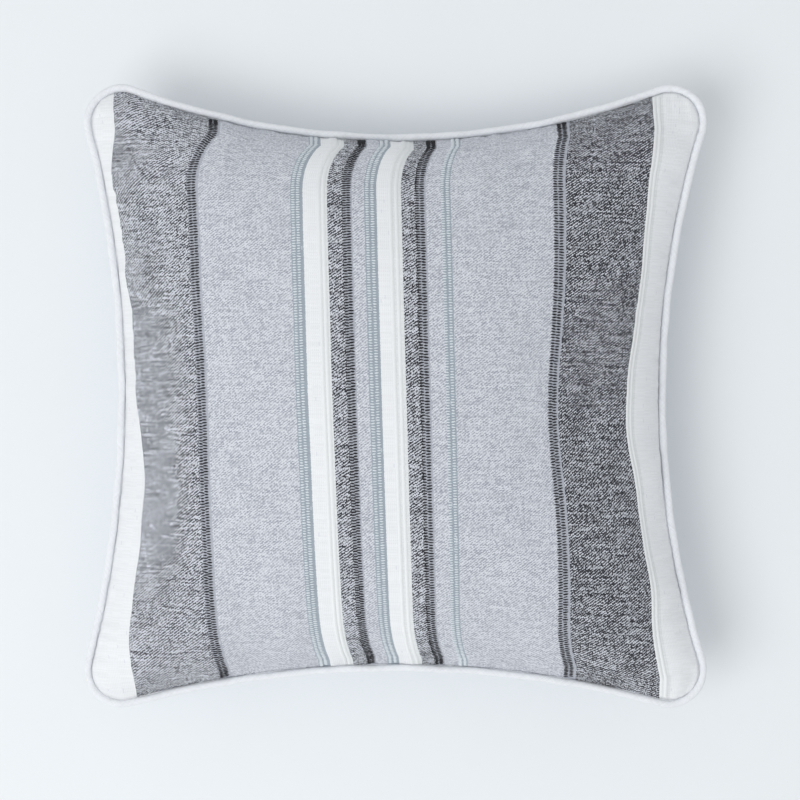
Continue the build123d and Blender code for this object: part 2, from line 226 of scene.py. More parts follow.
class ShaderTree(Tree):
    """A material's tree, with the few pieces of shader maths that cloth needs."""

    def vector(self, x: Operand, y: Operand, z: Operand = 0.0) -> Sock:
        """A vector of three values."""
        return self.node("ShaderNodeCombineXYZ", {}, {0: x, 1: y, 2: z})

    def parts(self, vector: Sock) -> tuple[Sock, Sock, Sock]:
        """The three values of a vector."""
        split = self.node("ShaderNodeSeparateXYZ", {}, {0: vector})
        return split, split.out(1), split.out(2)

    def cloth_mm(self) -> tuple[Sock, Sock]:
        """The flat cloth's own coordinates, across and along, in millimetres."""
        across, along, _ = self.parts(self.node("ShaderNodeUVMap", {"uv_map": CLOTH_MAP}))
        return across * 1000.0, along * 1000.0

    def place_mm(self) -> tuple[Sock, Sock, Sock]:
        """The object's own coordinates in millimetres."""
        x, y, z = self.parts(self.node("ShaderNodeTexCoord", output="Object"))
        return x * 1000.0, y * 1000.0, z * 1000.0

    def noise(self, vector: Sock, scale: float, detail: float = 2.0) -> Sock:
        """Smooth noise about 0.5."""
        return self.node("ShaderNodeTexNoise", {}, {"Vector": vector, "Scale": scale, "Detail": detail})

    def chance(self, vector: Sock) -> Sock:
        """An even random value for each whole-numbered cell."""
        return self.node("ShaderNodeTexWhiteNoise", {"noise_dimensions": "3D"}, {"Vector": vector}, "Value")

    def mix(self, share: Operand, a: object, b: object) -> Sock:
        """The colour that goes from a to b as share goes from 0 to 1."""
        colours = {"Factor_Float": share, "A_Color": rgba(a), "B_Color": rgba(b)}
        return self.node("ShaderNodeMix", {"data_type": "RGBA"}, colours, "Result_Color")

    def shade(self, share: Operand, colour: object) -> Sock:
        """A colour made darker, by a share from 0 to 1."""
        return self.mix(share, (0.0, 0.0, 0.0), colour)

    def bump(self, height: Sock, depth_mm: float, strength: float = 1.0) -> Sock:
        """The normal over a height from 0 to 1 that stands for a depth."""
        sizes = {"Strength": strength, "Distance": depth_mm * MM, "Height": height}
        return self.node("ShaderNodeBump", {}, sizes)

    def finish(self, colour: object, roughness: Operand, normal: Sock = None, **uniform: object) -> None:
        """Ends the tree in a surface shader.

        Args:
            colour: a colour or what gives it.
            roughness: a value or what gives it.
            normal: the bumped normal, if there is one.
            uniform: other sockets' values, the same all over.
        """
        values = {"Base Color": rgba(colour), "Roughness": roughness}
        if normal is not None:
            values["Normal"] = normal
        values |= {name.replace("_", " "): value for name, value in uniform.items()}
        surface = self.node("ShaderNodeBsdfPrincipled", {}, values)
        self.node_output(surface)

    def node_output(self, surface: Sock) -> None:
        """Links a shader to the material's output."""
        self.nodes.links.new(surface.socket, self.nodes.nodes["Material Output"].inputs["Surface"])


def rgba(colour: object) -> object:
    """A colour with its fourth value, or a Sock as it is."""
    return colour if isinstance(colour, Sock) else (*colour, 1.0)


def screen(red: int, green: int, blue: int) -> tuple[float, float, float]:
    """A colour from its screen values out of 255, as the light that a surface gives back."""
    return tuple(((c / 255 + 0.055) / 1.055) ** 2.4 for c in (red, green, blue))


# ---------------------------------------------------------------- the yarn-striped cloth's layout

CLOTH_MAP = "cloth"


class Weave(Enum):
    """The kinds of stripe that the front's cloth is woven in."""

    PLAIN_GREY = "plain grey"
    MELANGE = "black and white twill"
    DARK_LADDER = "ladder of black yarns"
    PALE_LADDER = "ladder of blue-green yarns"
    WHITE = "white"
    RIB = "cream rib"


@dataclass(frozen=True)
class Stripe:
    """One stripe of the cloth, from its left edge to the next one's."""

    start_mm: float
    weave: Weave


def layout() -> list[Stripe]:
    """The stripes from left to right, across the flat cloth.

    Returns:
        The stripes.
    """
    w = Weave
    edges = [
        (-260.0, w.WHITE),
        (-197.1, w.MELANGE),
        (-136.2, w.DARK_LADDER),
        (-129.4, w.PLAIN_GREY),
        (-65.0, w.PALE_LADDER),
        (-58.3, w.WHITE),
        (-47.7, w.RIB),
        (-41.8, w.MELANGE),
        (-31.1, w.DARK_LADDER),
        (-25.2, w.PLAIN_GREY),
        (-16.3, w.PALE_LADDER),
        (-9.0, w.WHITE),
        (-0.9, w.RIB),
        (6.7, w.MELANGE),
        (16.6, w.DARK_LADDER),
        (23.6, w.PLAIN_GREY),
        (33.5, w.PALE_LADDER),
        (40.6, w.PLAIN_GREY),
        (108.6, w.DARK_LADDER),
        (116.4, w.MELANGE),
        (178.4, w.RIB),
        (185.0, w.WHITE),
        (260.0, w.WHITE),
    ]
    return [Stripe(*edge) for edge in edges]


def spans(weave: Weave) -> list[tuple[float, float]]:
    """The left and right edges of each stripe in one weave, in millimetres."""
    stripes = layout()
    return [(a.start_mm, b.start_mm) for a, b in zip(stripes, stripes[1:]) if a.weave is weave]


# ---------------------------------------------------------------- finishes


@dataclass(frozen=True)
class Finish:
    """A named surface; each kind says how its tree is built."""

    name: str

    def dress(self, tree: ShaderTree) -> None:
        """Builds the surface."""
        raise NotImplementedError

    def material(self) -> bpy.types.Material:
        """The material, made the first time it is asked for.

        Returns:
            The material.
        """
        found = bpy.data.materials.get(self.name)
        if found is None:
            found = bpy.data.materials.new(self.name)
            found.use_nodes = True
            found.node_tree.nodes.remove(found.node_tree.nodes["Principled BSDF"])
            self.dress(ShaderTree(found.node_tree))
        return found


@dataclass(frozen=True)
class StripedCloth(Finish):
    """The front's cloth: every stripe's own colours and weave, on the flat cloth's coordinates."""

    width_mm: float = 520.0  # what the layout covers, about the middle
    white: tuple = screen(251, 253, 255)
    grey: tuple = screen(232, 235, 242)
    grey_dark: tuple = screen(160, 165, 177)
    black: tuple = screen(34, 36, 46)
    fleck: tuple = screen(222, 226, 234)
    cream: tuple = screen(240, 243, 244)
    dark_ground: tuple = screen(188, 192, 201)
    pale_ground: tuple = screen(166, 179, 188)

    def mask(self, t: ShaderTree, across: Sock, weave: Weave) -> Sock:
        """1 on the stripes of one weave and 0 elsewhere.

        Args:
            t: the tree it stands in.
            across: where on the cloth.
            weave: the weave that is wanted.

        Returns:
            The mask.
        """
        half = self.width_mm / 2
        stops = [(0.0, 0.0)]
        for low, high in spans(weave):
            stops += [((low + half) / self.width_mm, 1.0), ((high + half) / self.width_mm, 0.0)]
        place = (across + half) / self.width_mm
        ramp = t.node("ShaderNodeValToRGB", {"spread": "CONSTANT", "stops": stops}, {0: place})
        return t.node("ShaderNodeRGBToBW", {}, {0: ramp})

    def twill(self, t: ShaderTree, u: Sock, v: Sock, pick_mm: float, repeat_mm: float, salt: float) -> tuple:
        """A diagonal weave.

        Args:
            t: the tree it stands in.
            u: across the cloth.
            v: along it.
            pick_mm: from one crosswise yarn to the next.
            repeat_mm: from one diagonal line to the next, across.
            salt: which random values its crossings have.

        Returns:
            How far each point lies from its diagonal line, a random value for each crossing, and how far
            the yarn bulges there.
        """
        pick = (v / pick_mm).floor()
        phase = u / repeat_mm - pick * 0.36
        crossing = t.chance(t.vector((phase * 2.0).floor(), pick, salt))
        return (phase.fraction() - 0.5).size() * 2.0, crossing, self.bulge(phase * 2.0, v / pick_mm)

    def bulge(self, x: Sock, y: Sock) -> Sock:
        """The round of a yarn between its crossings, for places counted in crossings.

        Args:
            x: across.
            y: along.

        Returns:
            Its height.
        """
        across = x.fraction() * 2.0 - 1.0
        along = y.fraction() * 2.0 - 1.0
        return (1.0 - across * across * across * across) * (1.0 - along * along)

    def melange(self, t: ShaderTree, u: Sock, v: Sock) -> tuple[Sock, Sock]:
        """The colour and relief of black yarns crossing white ones, denser in some picks than in others,
        with painted shade between the yarn crossings and on the right-hand stripes.

        Args:
            t: the tree it stands in.
            u: across the cloth.
            v: along it.

        Returns:
            Its colour and its relief.
        """
        line, crossing, bulge = self.twill(t, u, v, 0.74, 2.9, 1.0)
        slub = t.noise(t.vector(u * 0.04, v * 0.62), 1.0, 2.0) - 0.5
        patch = t.noise(t.vector(u, v), 0.05, 2.0) - 0.5
        # denser black towards the right: partly a denser weave, partly painted shade for the right side that
        # faces away from the lamp
        right_density_and_shade = ((u + 100.0) / 40.0).unit() * 0.035 + ((u - 60.0) / 40.0).unit() * 0.10
        clump = t.noise(t.vector(u * 0.30, v * 0.75, 3.0), 1.0, 1.0) - 0.5
        cover = 0.47 + right_density_and_shade + slub * 0.7 + clump * 0.6 + patch * 0.16
        share = ((cover - line * 0.6 - crossing * 0.4) * 9.0 + 0.5).unit()
        # painted shade: each crossing's colour is darkened where its bulge falls away, between the yarns
        return t.shade(bulge * 0.22 + 0.80, t.mix(share, self.fleck, self.black)), bulge

    def pale_grey(self, t: ShaderTree, u: Sock, v: Sock) -> tuple[Sock, Sock]:
        """The colour and relief of grey yarns in a fine twill, with a few thicker ones and painted shade
        between the yarn crossings.

        Args:
            t: the tree it stands in.
            u: across the cloth.
            v: along it.

        Returns:
            Its colour and its relief.
        """
        line, crossing, bulge = self.twill(t, u, v, 0.72, 2.5, 4.0)
        slub = t.noise(t.vector(u * 0.05, v * 0.8), 1.0, 2.0) - 0.5
        stray = t.noise(t.vector(u * 0.9, v * 0.03), 1.0, 2.0) - 0.5
        share = (line * 1.1 + crossing * 0.95 + slub * 1.25 + stray * 0.5 - 0.64).unit()
        # painted shade: darker where the yarn's bulge falls away between crossings
        return t.shade(bulge * 0.14 + 0.89, t.mix(share, self.grey, self.grey_dark)), bulge

    def dress(self, tree: ShaderTree) -> None:
        """Builds the stripes, their yarns and the weave's relief.

        Args:
            tree: the tree it stands in.
        """
        t = tree
        u, v = t.cloth_mm()
        edge = u + (t.noise(t.vector(u * 0.15, v * 1.4), 1.0, 1.0) - 0.5) * 0.9
        masks = {weave: self.mask(t, edge, weave) for weave in Weave}
        yarn = t.chance(t.vector((u / 9.0).floor(), (v / 0.72).floor(), 7.0))
        ribs = (u * (math.tau / 1.3)).sine() * 0.5 + 0.5
        melange, coarse = self.melange(t, u, v)
        colour, fine = self.pale_grey(t, u, v)
        tones = {
            Weave.MELANGE: melange,
            Weave.DARK_LADDER: t.mix(yarn * 0.5, self.dark_ground, self.grey_dark),
            Weave.PALE_LADDER: t.mix(yarn * 0.6, self.pale_ground, self.grey_dark),
            Weave.WHITE: t.shade(1.0 - (yarn * 0.05 + ribs * 0.05), self.white),
            Weave.RIB: t.shade(1.0 - yarn * 0.08, self.cream),
        }
        for weave, tone in tones.items():
            colour = t.mix(masks[weave], colour, tone)
        lint = t.chance(t.vector((u / 0.9).floor(), (v / 2.6).floor(), 11.0)).over(0.993)
        colour = t.mix(lint * 0.5, colour, self.fleck)
        relief = fine + (coarse - fine) * masks[Weave.MELANGE] + ribs * masks[Weave.WHITE] * 0.4
        t.finish(colour, 0.88, t.bump(relief.unit(), 0.2), Sheen_Weight=0.12, Sheen_Roughness=0.6)


@dataclass(frozen=True)
class PlainCloth(Finish):
    """A plain white weave with slightly uneven yarns, on the flat cloth's coordinates."""

    colour: tuple = screen(232, 236, 243)
    yarn_mm: float = 0.7
    relief_mm: float = 0.16

    def dress(self, tree: ShaderTree) -> None:
        """Builds the two sets of yarns.

        Args:
            tree: the tree it stands in.
        """
        t = tree
        u, v = t.cloth_mm()
        warp = t.chance(t.vector((u / self.yarn_mm).floor(), (v / 14.0).floor(), 1.0))
        weft = t.chance(t.vector((u / 12.0).floor(), (v / self.yarn_mm).floor(), 5.0))
        slub = (t.noise(t.vector(u * 0.06, v * 0.8), 1.0, 2.0) - 0.5).most(0.0) * 3.0
        turn = math.tau / (2 * self.yarn_mm)
        crossing = ((u * turn).sine() * (v * turn).sine()) * 0.5 + 0.5
        # warp, weft and slub vary the yarns' own tone; the (1 - crossing) term is painted shade in the
        # hollows between crossings
        light = 1.0 - (warp * 0.05 + weft * 0.06 + slub * 0.05 + (1.0 - crossing) * 0.08)
        colour = t.shade(light, self.colour)
        relief = (crossing * 0.7 + slub * 0.4).unit()
        t.finish(colour, 0.9, t.bump(relief, self.relief_mm), Sheen_Weight=0.1, Sheen_Roughness=0.6)


@dataclass(frozen=True)
class SolidWeave(Finish):
    """A fine weave on a piece with no cloth coordinates of its own."""

    colour: tuple = screen(228, 232, 238)
    yarn_mm: float = 0.5
    relief_mm: float = 0.1

    def dress(self, tree: ShaderTree) -> None:
        """Builds the yarns from the piece's own place.

        Args:
            tree: the tree it stands in.
        """
        t = tree
        x, y, z = t.place_mm()
        turn = math.tau / (2 * self.yarn_mm)
        crossing = ((x * turn).sine() * ((y - z) * turn).sine()) * 0.5 + 0.5
        patch = t.noise(t.vector(x, y, z), 0.25, 3.0)
        # the (1 - crossing) term is painted shade between the yarn crossings; patch is uneven tone
        colour = t.shade(1.0 - (1.0 - crossing) * 0.16 - patch * 0.08, self.colour)
        t.finish(colour, 0.88, t.bump(crossing, self.relief_mm), Sheen_Weight=0.08)


@dataclass(frozen=True)
class Yarn(Finish):
    """A twisted yarn or thread, a little lighter and darker along its length."""

    colour: tuple = screen(238, 238, 232)
    dark: tuple = screen(190, 192, 194)
    twist_mm: float = 1.1
    roughness: float = 0.85

    def dress(self, tree: ShaderTree) -> None:
        """Builds the slanting strands and the uneven colour.

        Args:
            tree: the tree it stands in.
        """
        t = tree
        x, y, z = t.place_mm()
        strand = ((x * 1.3 + y - z * 0.7) * (math.tau / self.twist_mm)).sine() * 0.5 + 0.5
        patch = t.noise(t.vector(x, y, z), 0.6, 3.0)
        colour = t.mix((strand * 0.35 + patch * 0.65 - 0.1).unit(), self.colour, self.dark)
        t.finish(colour, self.roughness, t.bump(strand, 0.12), Sheen_Weight=0.1)


@dataclass(frozen=True)
class Nylon(Finish):
    """The coils' smooth filament."""

    colour: tuple = screen(226, 230, 235)

    def dress(self, tree: ShaderTree) -> None:
        """Builds a slightly uneven satin.

        Args:
            tree: the tree it stands in.
        """
        t = tree
        x, y, z = t.place_mm()
        patch = t.noise(t.vector(x, y, z), 0.8, 2.0)
        t.finish(t.shade(1.0 - patch * 0.12, self.colour), 0.34 + patch * 0.1, Subsurface_Weight=0.0)


@dataclass(frozen=True)
class CastMetal(Finish):
    """Die-cast metal, painted or bare, worn a little brighter where it is handled."""

    colour: tuple = screen(222, 225, 230)
    metallic: float = 0.0

    def dress(self, tree: ShaderTree) -> None:
        """Builds the fine grain of the casting and its small scuffs.

        Args:
            tree: the tree it stands in.
        """
        t = tree
        x, y, z = t.place_mm()
        grain = t.noise(t.vector(x, y, z), 4.0, 3.0)
        scuff = (t.noise(t.vector(x * 0.4, y, z), 2.2, 4.0) - 0.56).most(0.0) * 4.0
        colour = t.mix(scuff.unit() * 0.35, self.colour, screen(168, 170, 174))
        roughness = 0.30 + grain * 0.14 + scuff.unit() * 0.15
        t.finish(colour, roughness, t.bump(grain, 0.03), Metallic=self.metallic)


@dataclass(frozen=True)
class Fibre(Finish):
    """Loose white fibre, or the thin bonded cloth made of it."""

    colour: tuple = screen(240, 240, 238)
    tuft_mm: float = 6.0
    relief_mm: float = 1.2

    def dress(self, tree: ShaderTree) -> None:
        """Builds tufts and the fine hairs on them.

        Args:
            tree: the tree it stands in.
        """
        t = tree
        x, y, z = t.place_mm()
        tuft = t.noise(t.vector(x, y, z), 1.0 / self.tuft_mm, 5.0)
        hair = t.noise(t.vector(x * 3.0, y, z * 2.0), 1.1, 4.0)
        # the (1 - tuft) term is painted shade in the hollows between tufts; hair varies the fibre's tone
        colour = t.shade(1.0 - (1.0 - tuft) * 0.18 - hair * 0.06, self.colour)
        relief = (tuft * 0.7 + hair * 0.3).unit()
        t.finish(colour, 0.95, t.bump(relief, self.relief_mm), Sheen_Weight=0.1)


@dataclass(frozen=True)
class PaleBoard(Finish):
    """The plain pale surface that the pillow lies on."""

    colour: tuple = screen(236, 240, 242)

    def dress(self, tree: ShaderTree) -> None:
        """Builds an almost even matt surface.

        Args:
            tree: the tree it stands in.
        """
        t = tree
        x, y, z = t.place_mm()
        patch = t.noise(t.vector(x, y, z), 0.01, 2.0)
        t.finish(t.shade(1.0 - patch * 0.02, self.colour), 0.75)


# ---------------------------------------------------------------- geometry node trees


@dataclass
class Pattern:
    """A Geometry Nodes tree with named inputs, run once to give a plain mesh."""

    name: str
    tree: Tree = field(init=False)
    inputs: dict = field(init=False, default_factory=dict)
    source: Sock = field(init=False)

    def __post_init__(self) -> None:
        """Starts the tree with its geometry input and its output."""
        nodes = bpy.data.node_groups.new(self.name, "GeometryNodeTree")
        self.tree = Tree(nodes)
        nodes.interface.new_socket("Geometry", in_out="INPUT", socket_type="NodeSocketGeometry")
        nodes.interface.new_socket("Geometry", in_out="OUTPUT", socket_type="NodeSocketGeometry")
        self.source = self.tree.node("NodeGroupInput")

    def take(self, name: str, kind: str, value: object) -> Sock:
        """Adds a named input.

        Args:
            name: what it is called.
            kind: Float, Int or Material.
            value: what it is set to when the tree runs.

        Returns:
            The input's socket inside the tree.
        """
        socket = self.tree.nodes.interface.new_socket(name, in_out="INPUT", socket_type=f"NodeSocket{kind}")
        self.inputs[socket.identifier] = value
        return self.source.out(name)

    def run(self, start: bpy.types.Mesh, shape: Sock, finish: Finish) -> bpy.types.Mesh:
        """Ends the tree and runs it.

        Args:
            start: the mesh that goes in.
            shape: the geometry that the tree has made.
            finish: the finish of what comes out.

        Returns:
            The result, as a plain mesh.
        """
        skin = self.take("Finish", "Material", finish.material())
        real = self.tree.node("GeometryNodeRealizeInstances", {}, {0: shape})
        smooth = self.tree.node("GeometryNodeSetShadeSmooth", {}, {"Geometry": real})
        dressed = self.tree.node("GeometryNodeSetMaterial", {}, {"Geometry": smooth, "Material": skin})
        out = self.tree.nodes.nodes.new("NodeGroupOutput")
        self.tree.nodes.links.new(dressed.socket, out.inputs[0])
        holder = bpy.data.objects.new(f"{self.name}_start", start)
        bpy.context.scene.collection.objects.link(holder)
        modifier = holder.modifiers.new("pattern", "NODES")
        modifier.node_group = self.tree.nodes
        for identifier, value in self.inputs.items():
            modifier[identifier] = value
        bpy.context.view_layer.update()
        found = holder.evaluated_get(bpy.context.evaluated_depsgraph_get())
        mesh = bpy.data.meshes.new_from_object(found)
        bpy.data.objects.remove(holder)
        mesh.materials.clear()
        mesh.materials.append(finish.material())
        mesh.polygons.foreach_set("material_index", np.zeros(len(mesh.polygons), np.int32))
        return mesh


@dataclass
class Track:
    """Lines to lay a pattern along: places, the way up at each and the way across."""

    lines: list = field(default_factory=list)

    def add(self, places: np.ndarray, ups: np.ndarray) -> None:
        """Adds one open line of at least two places."""
        self.lines.append((places, ups))

    def mesh(self) -> bpy.types.Mesh:
        """All lines as one mesh of edges, with each point's way up.

        Returns:
            The mesh.
        """
        places = np.concatenate([p for p, _ in self.lines])
        ups = np.concatenate([u for _, u in self.lines])
        edges = []
        first = 0
        for line, _ in self.lines:
            edges += [(first + i, first + i + 1) for i in range(len(line) - 1)]
            first += len(line)
        made = bpy.data.meshes.new("track")
        made.from_pydata(places.tolist(), edges, [])
        ways = made.attributes.new("way_up", "FLOAT_VECTOR", "POINT")
        ways.data.foreach_set("vector", ups.astype(np.float32).ravel())
        return made


@dataclass
class Bars:
    """Short yarns or stitches laid along lines, each across or along its line."""

    name: str
    finish: Finish
    pitch: float
    length: float
    thickness: float
    along: bool = False
    unevenness: float = 0.0  # how much the places, lengths and slants vary, from 0 to 1
    seed: int = 1

    def mesh(self, track: Track) -> bpy.types.Mesh:
        """Lays the bars.

        Args:
            track: the lines they are laid on.

        Returns:
            The bars as one mesh.
        """
        pattern = Pattern(self.name)
        node = pattern.tree.node
        pitch = pattern.take("Pitch", "Float", self.pitch)
        length = pattern.take("Length", "Float", self.length)
        thick = pattern.take("Thickness", "Float", self.thickness)
        uneven = pattern.take("Unevenness", "Float", self.unevenness)
        seed = pattern.take("Seed", "Int", self.seed)

        def random(low: float, high: float, salt: int) -> Sock:
            """A random value for each bar."""
            sizes = {"Min": low, "Max": high, "Seed": seed + salt}
            return node("FunctionNodeRandomValue", {"data_type": "FLOAT"}, sizes, "Value")

        curve = node("GeometryNodeMeshToCurve", {}, {"Mesh": pattern.source})
        even = node("GeometryNodeResampleCurve", {"mode": "LENGTH"}, {"Curve": curve, "Length": pitch})
        kept = {"Name": "way_up"}
        way_up = node("GeometryNodeInputNamedAttribute", {"data_type": "FLOAT_VECTOR"}, kept, "Attribute")
        tangent = node("GeometryNodeInputTangent")
        across = node("ShaderNodeVectorMath", {"operation": "CROSS_PRODUCT"}, {0: tangent, 1: way_up})
        lead = tangent if self.along else across
        axes = {"primary_axis": "X", "secondary_axis": "Z"}
        turn = node("FunctionNodeAxesToRotation", axes, {"Primary Axis": lead, "Secondary Axis": way_up})
        slant = node("FunctionNodeEulerToRotation", {}, {0: node(
            "ShaderNodeCombineXYZ", {}, {2: uneven * random(-0.22, 0.22, 5)})})
        turned = node("FunctionNodeRotateRotation", {"rotation_space": "LOCAL"}, {0: turn, 1: slant})
        ball = node("GeometryNodeMeshUVSphere", {}, {"Segments": 8, "Rings": 5, "Radius": 0.5})
        size = node("ShaderNodeCombineXYZ", {}, {
            0: length * (1.0 + uneven * random(-0.24, 0.16, 1)),
            1: thick * (1.0 + uneven * random(-0.22, 0.22, 2)),
            2: thick * 0.8,
        })
        on_points = {"Points": even, "Instance": ball, "Rotation": turned, "Scale": size}
        placed = node("GeometryNodeInstanceOnPoints", {}, on_points)
        shift = node("ShaderNodeCombineXYZ", {}, {
            0: uneven * random(-0.25, 0.25, 3) * length,
            1: uneven * random(-0.42, 0.42, 4) * pitch,
        })
        shifted = {"Instances": placed, "Translation": shift, "Local Space": True}
        moved = node("GeometryNodeTranslateInstances", {}, shifted)
        return pattern.run(track.mesh(), moved, self.finish)


@dataclass
class Cords:
    """Round yarns swept along lines, with a slightly uneven thickness."""

    name: str
    finish: Finish
    radius: float
    pitch: float = 0.002
    unevenness: float = 0.1
    seed: int = 3

    def mesh(self, track: Track) -> bpy.types.Mesh:
        """Sweeps the yarns.

        Args:
            track: the lines they follow.

        Returns:
            The yarns as one mesh.
        """
        pattern = Pattern(self.name)
        node = pattern.tree.node
        radius = pattern.take("Radius", "Float", self.radius)
        pitch = pattern.take("Pitch", "Float", self.pitch)
        uneven = pattern.take("Unevenness", "Float", self.unevenness)
        seed = pattern.take("Seed", "Int", self.seed)
        curve = node("GeometryNodeMeshToCurve", {}, {"Mesh": pattern.source})
        even = node("GeometryNodeResampleCurve", {"mode": "LENGTH"}, {"Curve": curve, "Length": pitch})
        spread = {"Min": -1.0, "Max": 1.0, "Seed": seed}
        vary = node("FunctionNodeRandomValue", {"data_type": "FLOAT"}, spread, "Value")
        sized = node("GeometryNodeSetCurveRadius", {}, {"Curve": even, "Radius": 1.0 + vary * uneven})
        girth = {"Resolution": 8, "Radius": radius}
        ring = node("GeometryNodeCurvePrimitiveCircle", {"mode": "RADIUS"}, girth)
        swept = node("GeometryNodeCurveToMesh", {}, {
            "Curve": sized, "Profile Curve": ring, "Scale": 1.0 + vary * uneven, "Fill Caps": True})
        return pattern.run(track.mesh(), swept, self.finish)


# ---------------------------------------------------------------- the seam's outline


class Side(Enum):
    """The pillow's sides, each with its outward way in plan."""

    BOTTOM = (0, -1)
    RIGHT = (1, 0)
    TOP = (0, 1)
    LEFT = (-1, 0)


@dataclass(frozen=True)
class Outline:
    """A square with rounded corners whose sides curve inwards, as tangent arcs."""

    half: float
    corner: float
    pull_in: dict

    def bow(self, side: Side) -> float:
        """The radius of a side's arc.

        Args:
            side: which side.

        Returns:
            The radius.
        """
        middle = self.half - self.pull_in[side]
        along = self.half - self.corner
        square = along**2 + (middle - along) ** 2 - self.corner**2
        return square / (2 * (self.corner + along - middle))

    def half_length(self, side: Side) -> float:
        """Half of a side's length, to the middle of a corner.

        Args:
            side: which side.

        Returns:
            Half the length.
        """
        along = self.half - self.corner
        centre = self.half - self.pull_in[side] + self.bow(side)
        sweep = math.atan2(along, centre - along)
        return self.bow(side) * sweep + self.corner * (math.pi / 4 + sweep)

    def area(self) -> float:
        """The area inside the outline."""
        x, y = self.loop(0.0, 200).T
        return float(np.sum(x * np.roll(y, -1) - y * np.roll(x, -1)) / 2)

    def run(self, side: Side, inset: float, shares: np.ndarray) -> np.ndarray:
        """Places on a side, from one corner's tip to the next.

        Args:
            side: which side.
            inset: how far inside the outline.
            shares: shares of the side's length, anticlockwise.

        Returns:
            The places in plan, one row each.
        """
        bow = self.bow(side)
        centre = self.half - self.pull_in[side] + bow  # how far out the side's centre lies
        along = self.half - self.corner
        sweep = math.atan2(along, centre - along)
        travelled = (shares * 2 - 1) * self.half_length(side)
        theta = np.clip(travelled / bow, -sweep, sweep)
        turned = math.pi / 2 + sweep - np.maximum(np.abs(travelled) - bow * sweep, 0) / self.corner
        radius = self.corner - inset
        rounded = np.abs(travelled) > bow * sweep
        corner_x = np.sign(travelled) * (along + radius * np.cos(turned))
        x = np.where(rounded, corner_x, (bow + inset) * np.sin(theta))
        y = np.where(rounded, along + radius * np.sin(turned), centre - (bow + inset) * np.cos(theta))
        out_x, out_y = side.value
        return np.stack([out_x * y - out_y * x, out_y * y + out_x * x], axis=1)

    def loop(self, inset: float, count: int) -> np.ndarray:
        """Places all the way round, anticlockwise from the bottom left corner, with count on each side."""
        shares = np.arange(count) / count
        return np.concatenate([self.run(side, inset, shares) for side in Side])

    def patch(self, inset: float, count: int, rounds: int = 80, held: tuple = None) -> np.ndarray:
        """An even grid over the whole outline.

        Args:
            inset: how far inside the outline its edge lies.
            count: how many cells it has each way.
            rounds: how often the inner places are evened out.
            held: the first rows' own places, and the columns where they keep to them.

        Returns:
            Places by row, from the bottom, and column, from the left.
        """
        shares = np.linspace(0, 1, count + 1)
        fixed, near = held or ({}, slice(0, 0))
        bottom = fixed.get(0, self.run(Side.BOTTOM, inset, shares))
        right = self.run(Side.RIGHT, inset, shares)
        top = self.run(Side.TOP, inset, shares)[::-1]
        left = self.run(Side.LEFT, inset, shares)[::-1]
        s = shares[None, :, None]
        t = shares[:, None, None]
        grid = (1 - t) * bottom[None] + t * top[None] + (1 - s) * left[:, None] + s * right[:, None]
        lower_corners = (1 - s) * (1 - t) * bottom[0] + s * (1 - t) * bottom[-1]
        grid -= lower_corners + (1 - s) * t * top[0] + s * t * top[-1]
        for _ in range(rounds):
            for row, places in fixed.items():
                grid[row, near] = places[near]
            grid[1:-1, 1:-1] = (grid[:-2, 1:-1] + grid[2:, 1:-1] + grid[1:-1, :-2] + grid[1:-1, 2:]) / 4
        for row, places in fixed.items():
            grid[row, near] = places[near]
        return grid


SEAM = Outline(
    half=0.2174,
    corner=0.024,
    pull_in={Side.BOTTOM: 0.0255, Side.RIGHT: 0.029, Side.TOP: 0.035, Side.LEFT: 0.024},
)
CUT = Outline(
    half=0.2185,
    corner=0.024,
    pull_in={Side.BOTTOM: 0.0055, Side.RIGHT: 0.0060, Side.TOP: 0.0075, Side.LEFT: 0.0055},
)


# ---------------------------------------------------------------- cloth grids


def finer(grid: np.ndarray) -> np.ndarray:
    """A grid with twice as many cells each way, on smooth curves through its places.

    Args:
        grid: points by row and column.

    Returns:
        The refined grid.
    """
    for axis in (0, 1):
        row = np.moveaxis(grid, axis, 0)
        ends = np.concatenate([2 * row[:1] - row[1:2], row, 2 * row[-1:] - row[-2:-1]])
        fine = np.empty((2 * len(row) - 1, *row.shape[1:]))
        fine[::2] = row
        fine[1::2] = (9 * (row[:-1] + row[1:]) - ends[:-3] - ends[3:]) / 16
        grid = np.moveaxis(fine, 0, axis)
    return grid


def cells(rows: int, columns: int) -> np.ndarray:
    """The four corners of each cell of a grid, anticlockwise, as indices into its places.

    Args:
        rows: how many rows of places there are.
        columns: how many places there are in a row.

    Returns:
        Indices by row of cells, column of cells and corner.
    """
    index = np.arange(rows * columns).reshape(rows, columns)
    return np.stack([index[:-1, :-1], index[:-1, 1:], index[1:, 1:], index[1:, :-1]], axis=-1)


def grid_normals(grid: np.ndarray) -> np.ndarray:
    """The way that a grid of places faces at each place, from the cells round it.

    Args:
        grid: points by row and column.

    Returns:
        A unit vector for each point.
    """
    diagonal = grid[1:, 1:] - grid[:-1, :-1]
    other = grid[1:, :-1] - grid[:-1, 1:]
    face = np.cross(diagonal, other)
    face /= np.linalg.norm(face, axis=-1, keepdims=True) + 1e-12
    total = np.zeros_like(grid)
    for rows in (slice(None, -1), slice(1, None)):
        for columns in (slice(None, -1), slice(1, None)):
            total[rows, columns] += face
    return total / np.linalg.norm(total, axis=-1, keepdims=True)


def waves(place: np.ndarray, longest: float, shortest: float, seed: int, count: int = 12) -> np.ndarray:
    """A smooth uneven curve about 0, made of seeded sine waves.

    Args:
        place: where it is wanted, in metres.
        longest: its longest wave.
        shortest: its shortest.
        seed: which curve.
        count: how many waves.

    Returns:
        Its values, mostly between -1 and 1.
    """
    random = np.random.default_rng(seed)
    total = np.zeros_like(place)
    for length in np.geomspace(longest, shortest, count):
        turns = place * math.tau / (length * random.uniform(0.85, 1.15))
        total += np.sin(turns + random.uniform(0, math.tau))
    return total / math.sqrt(count)


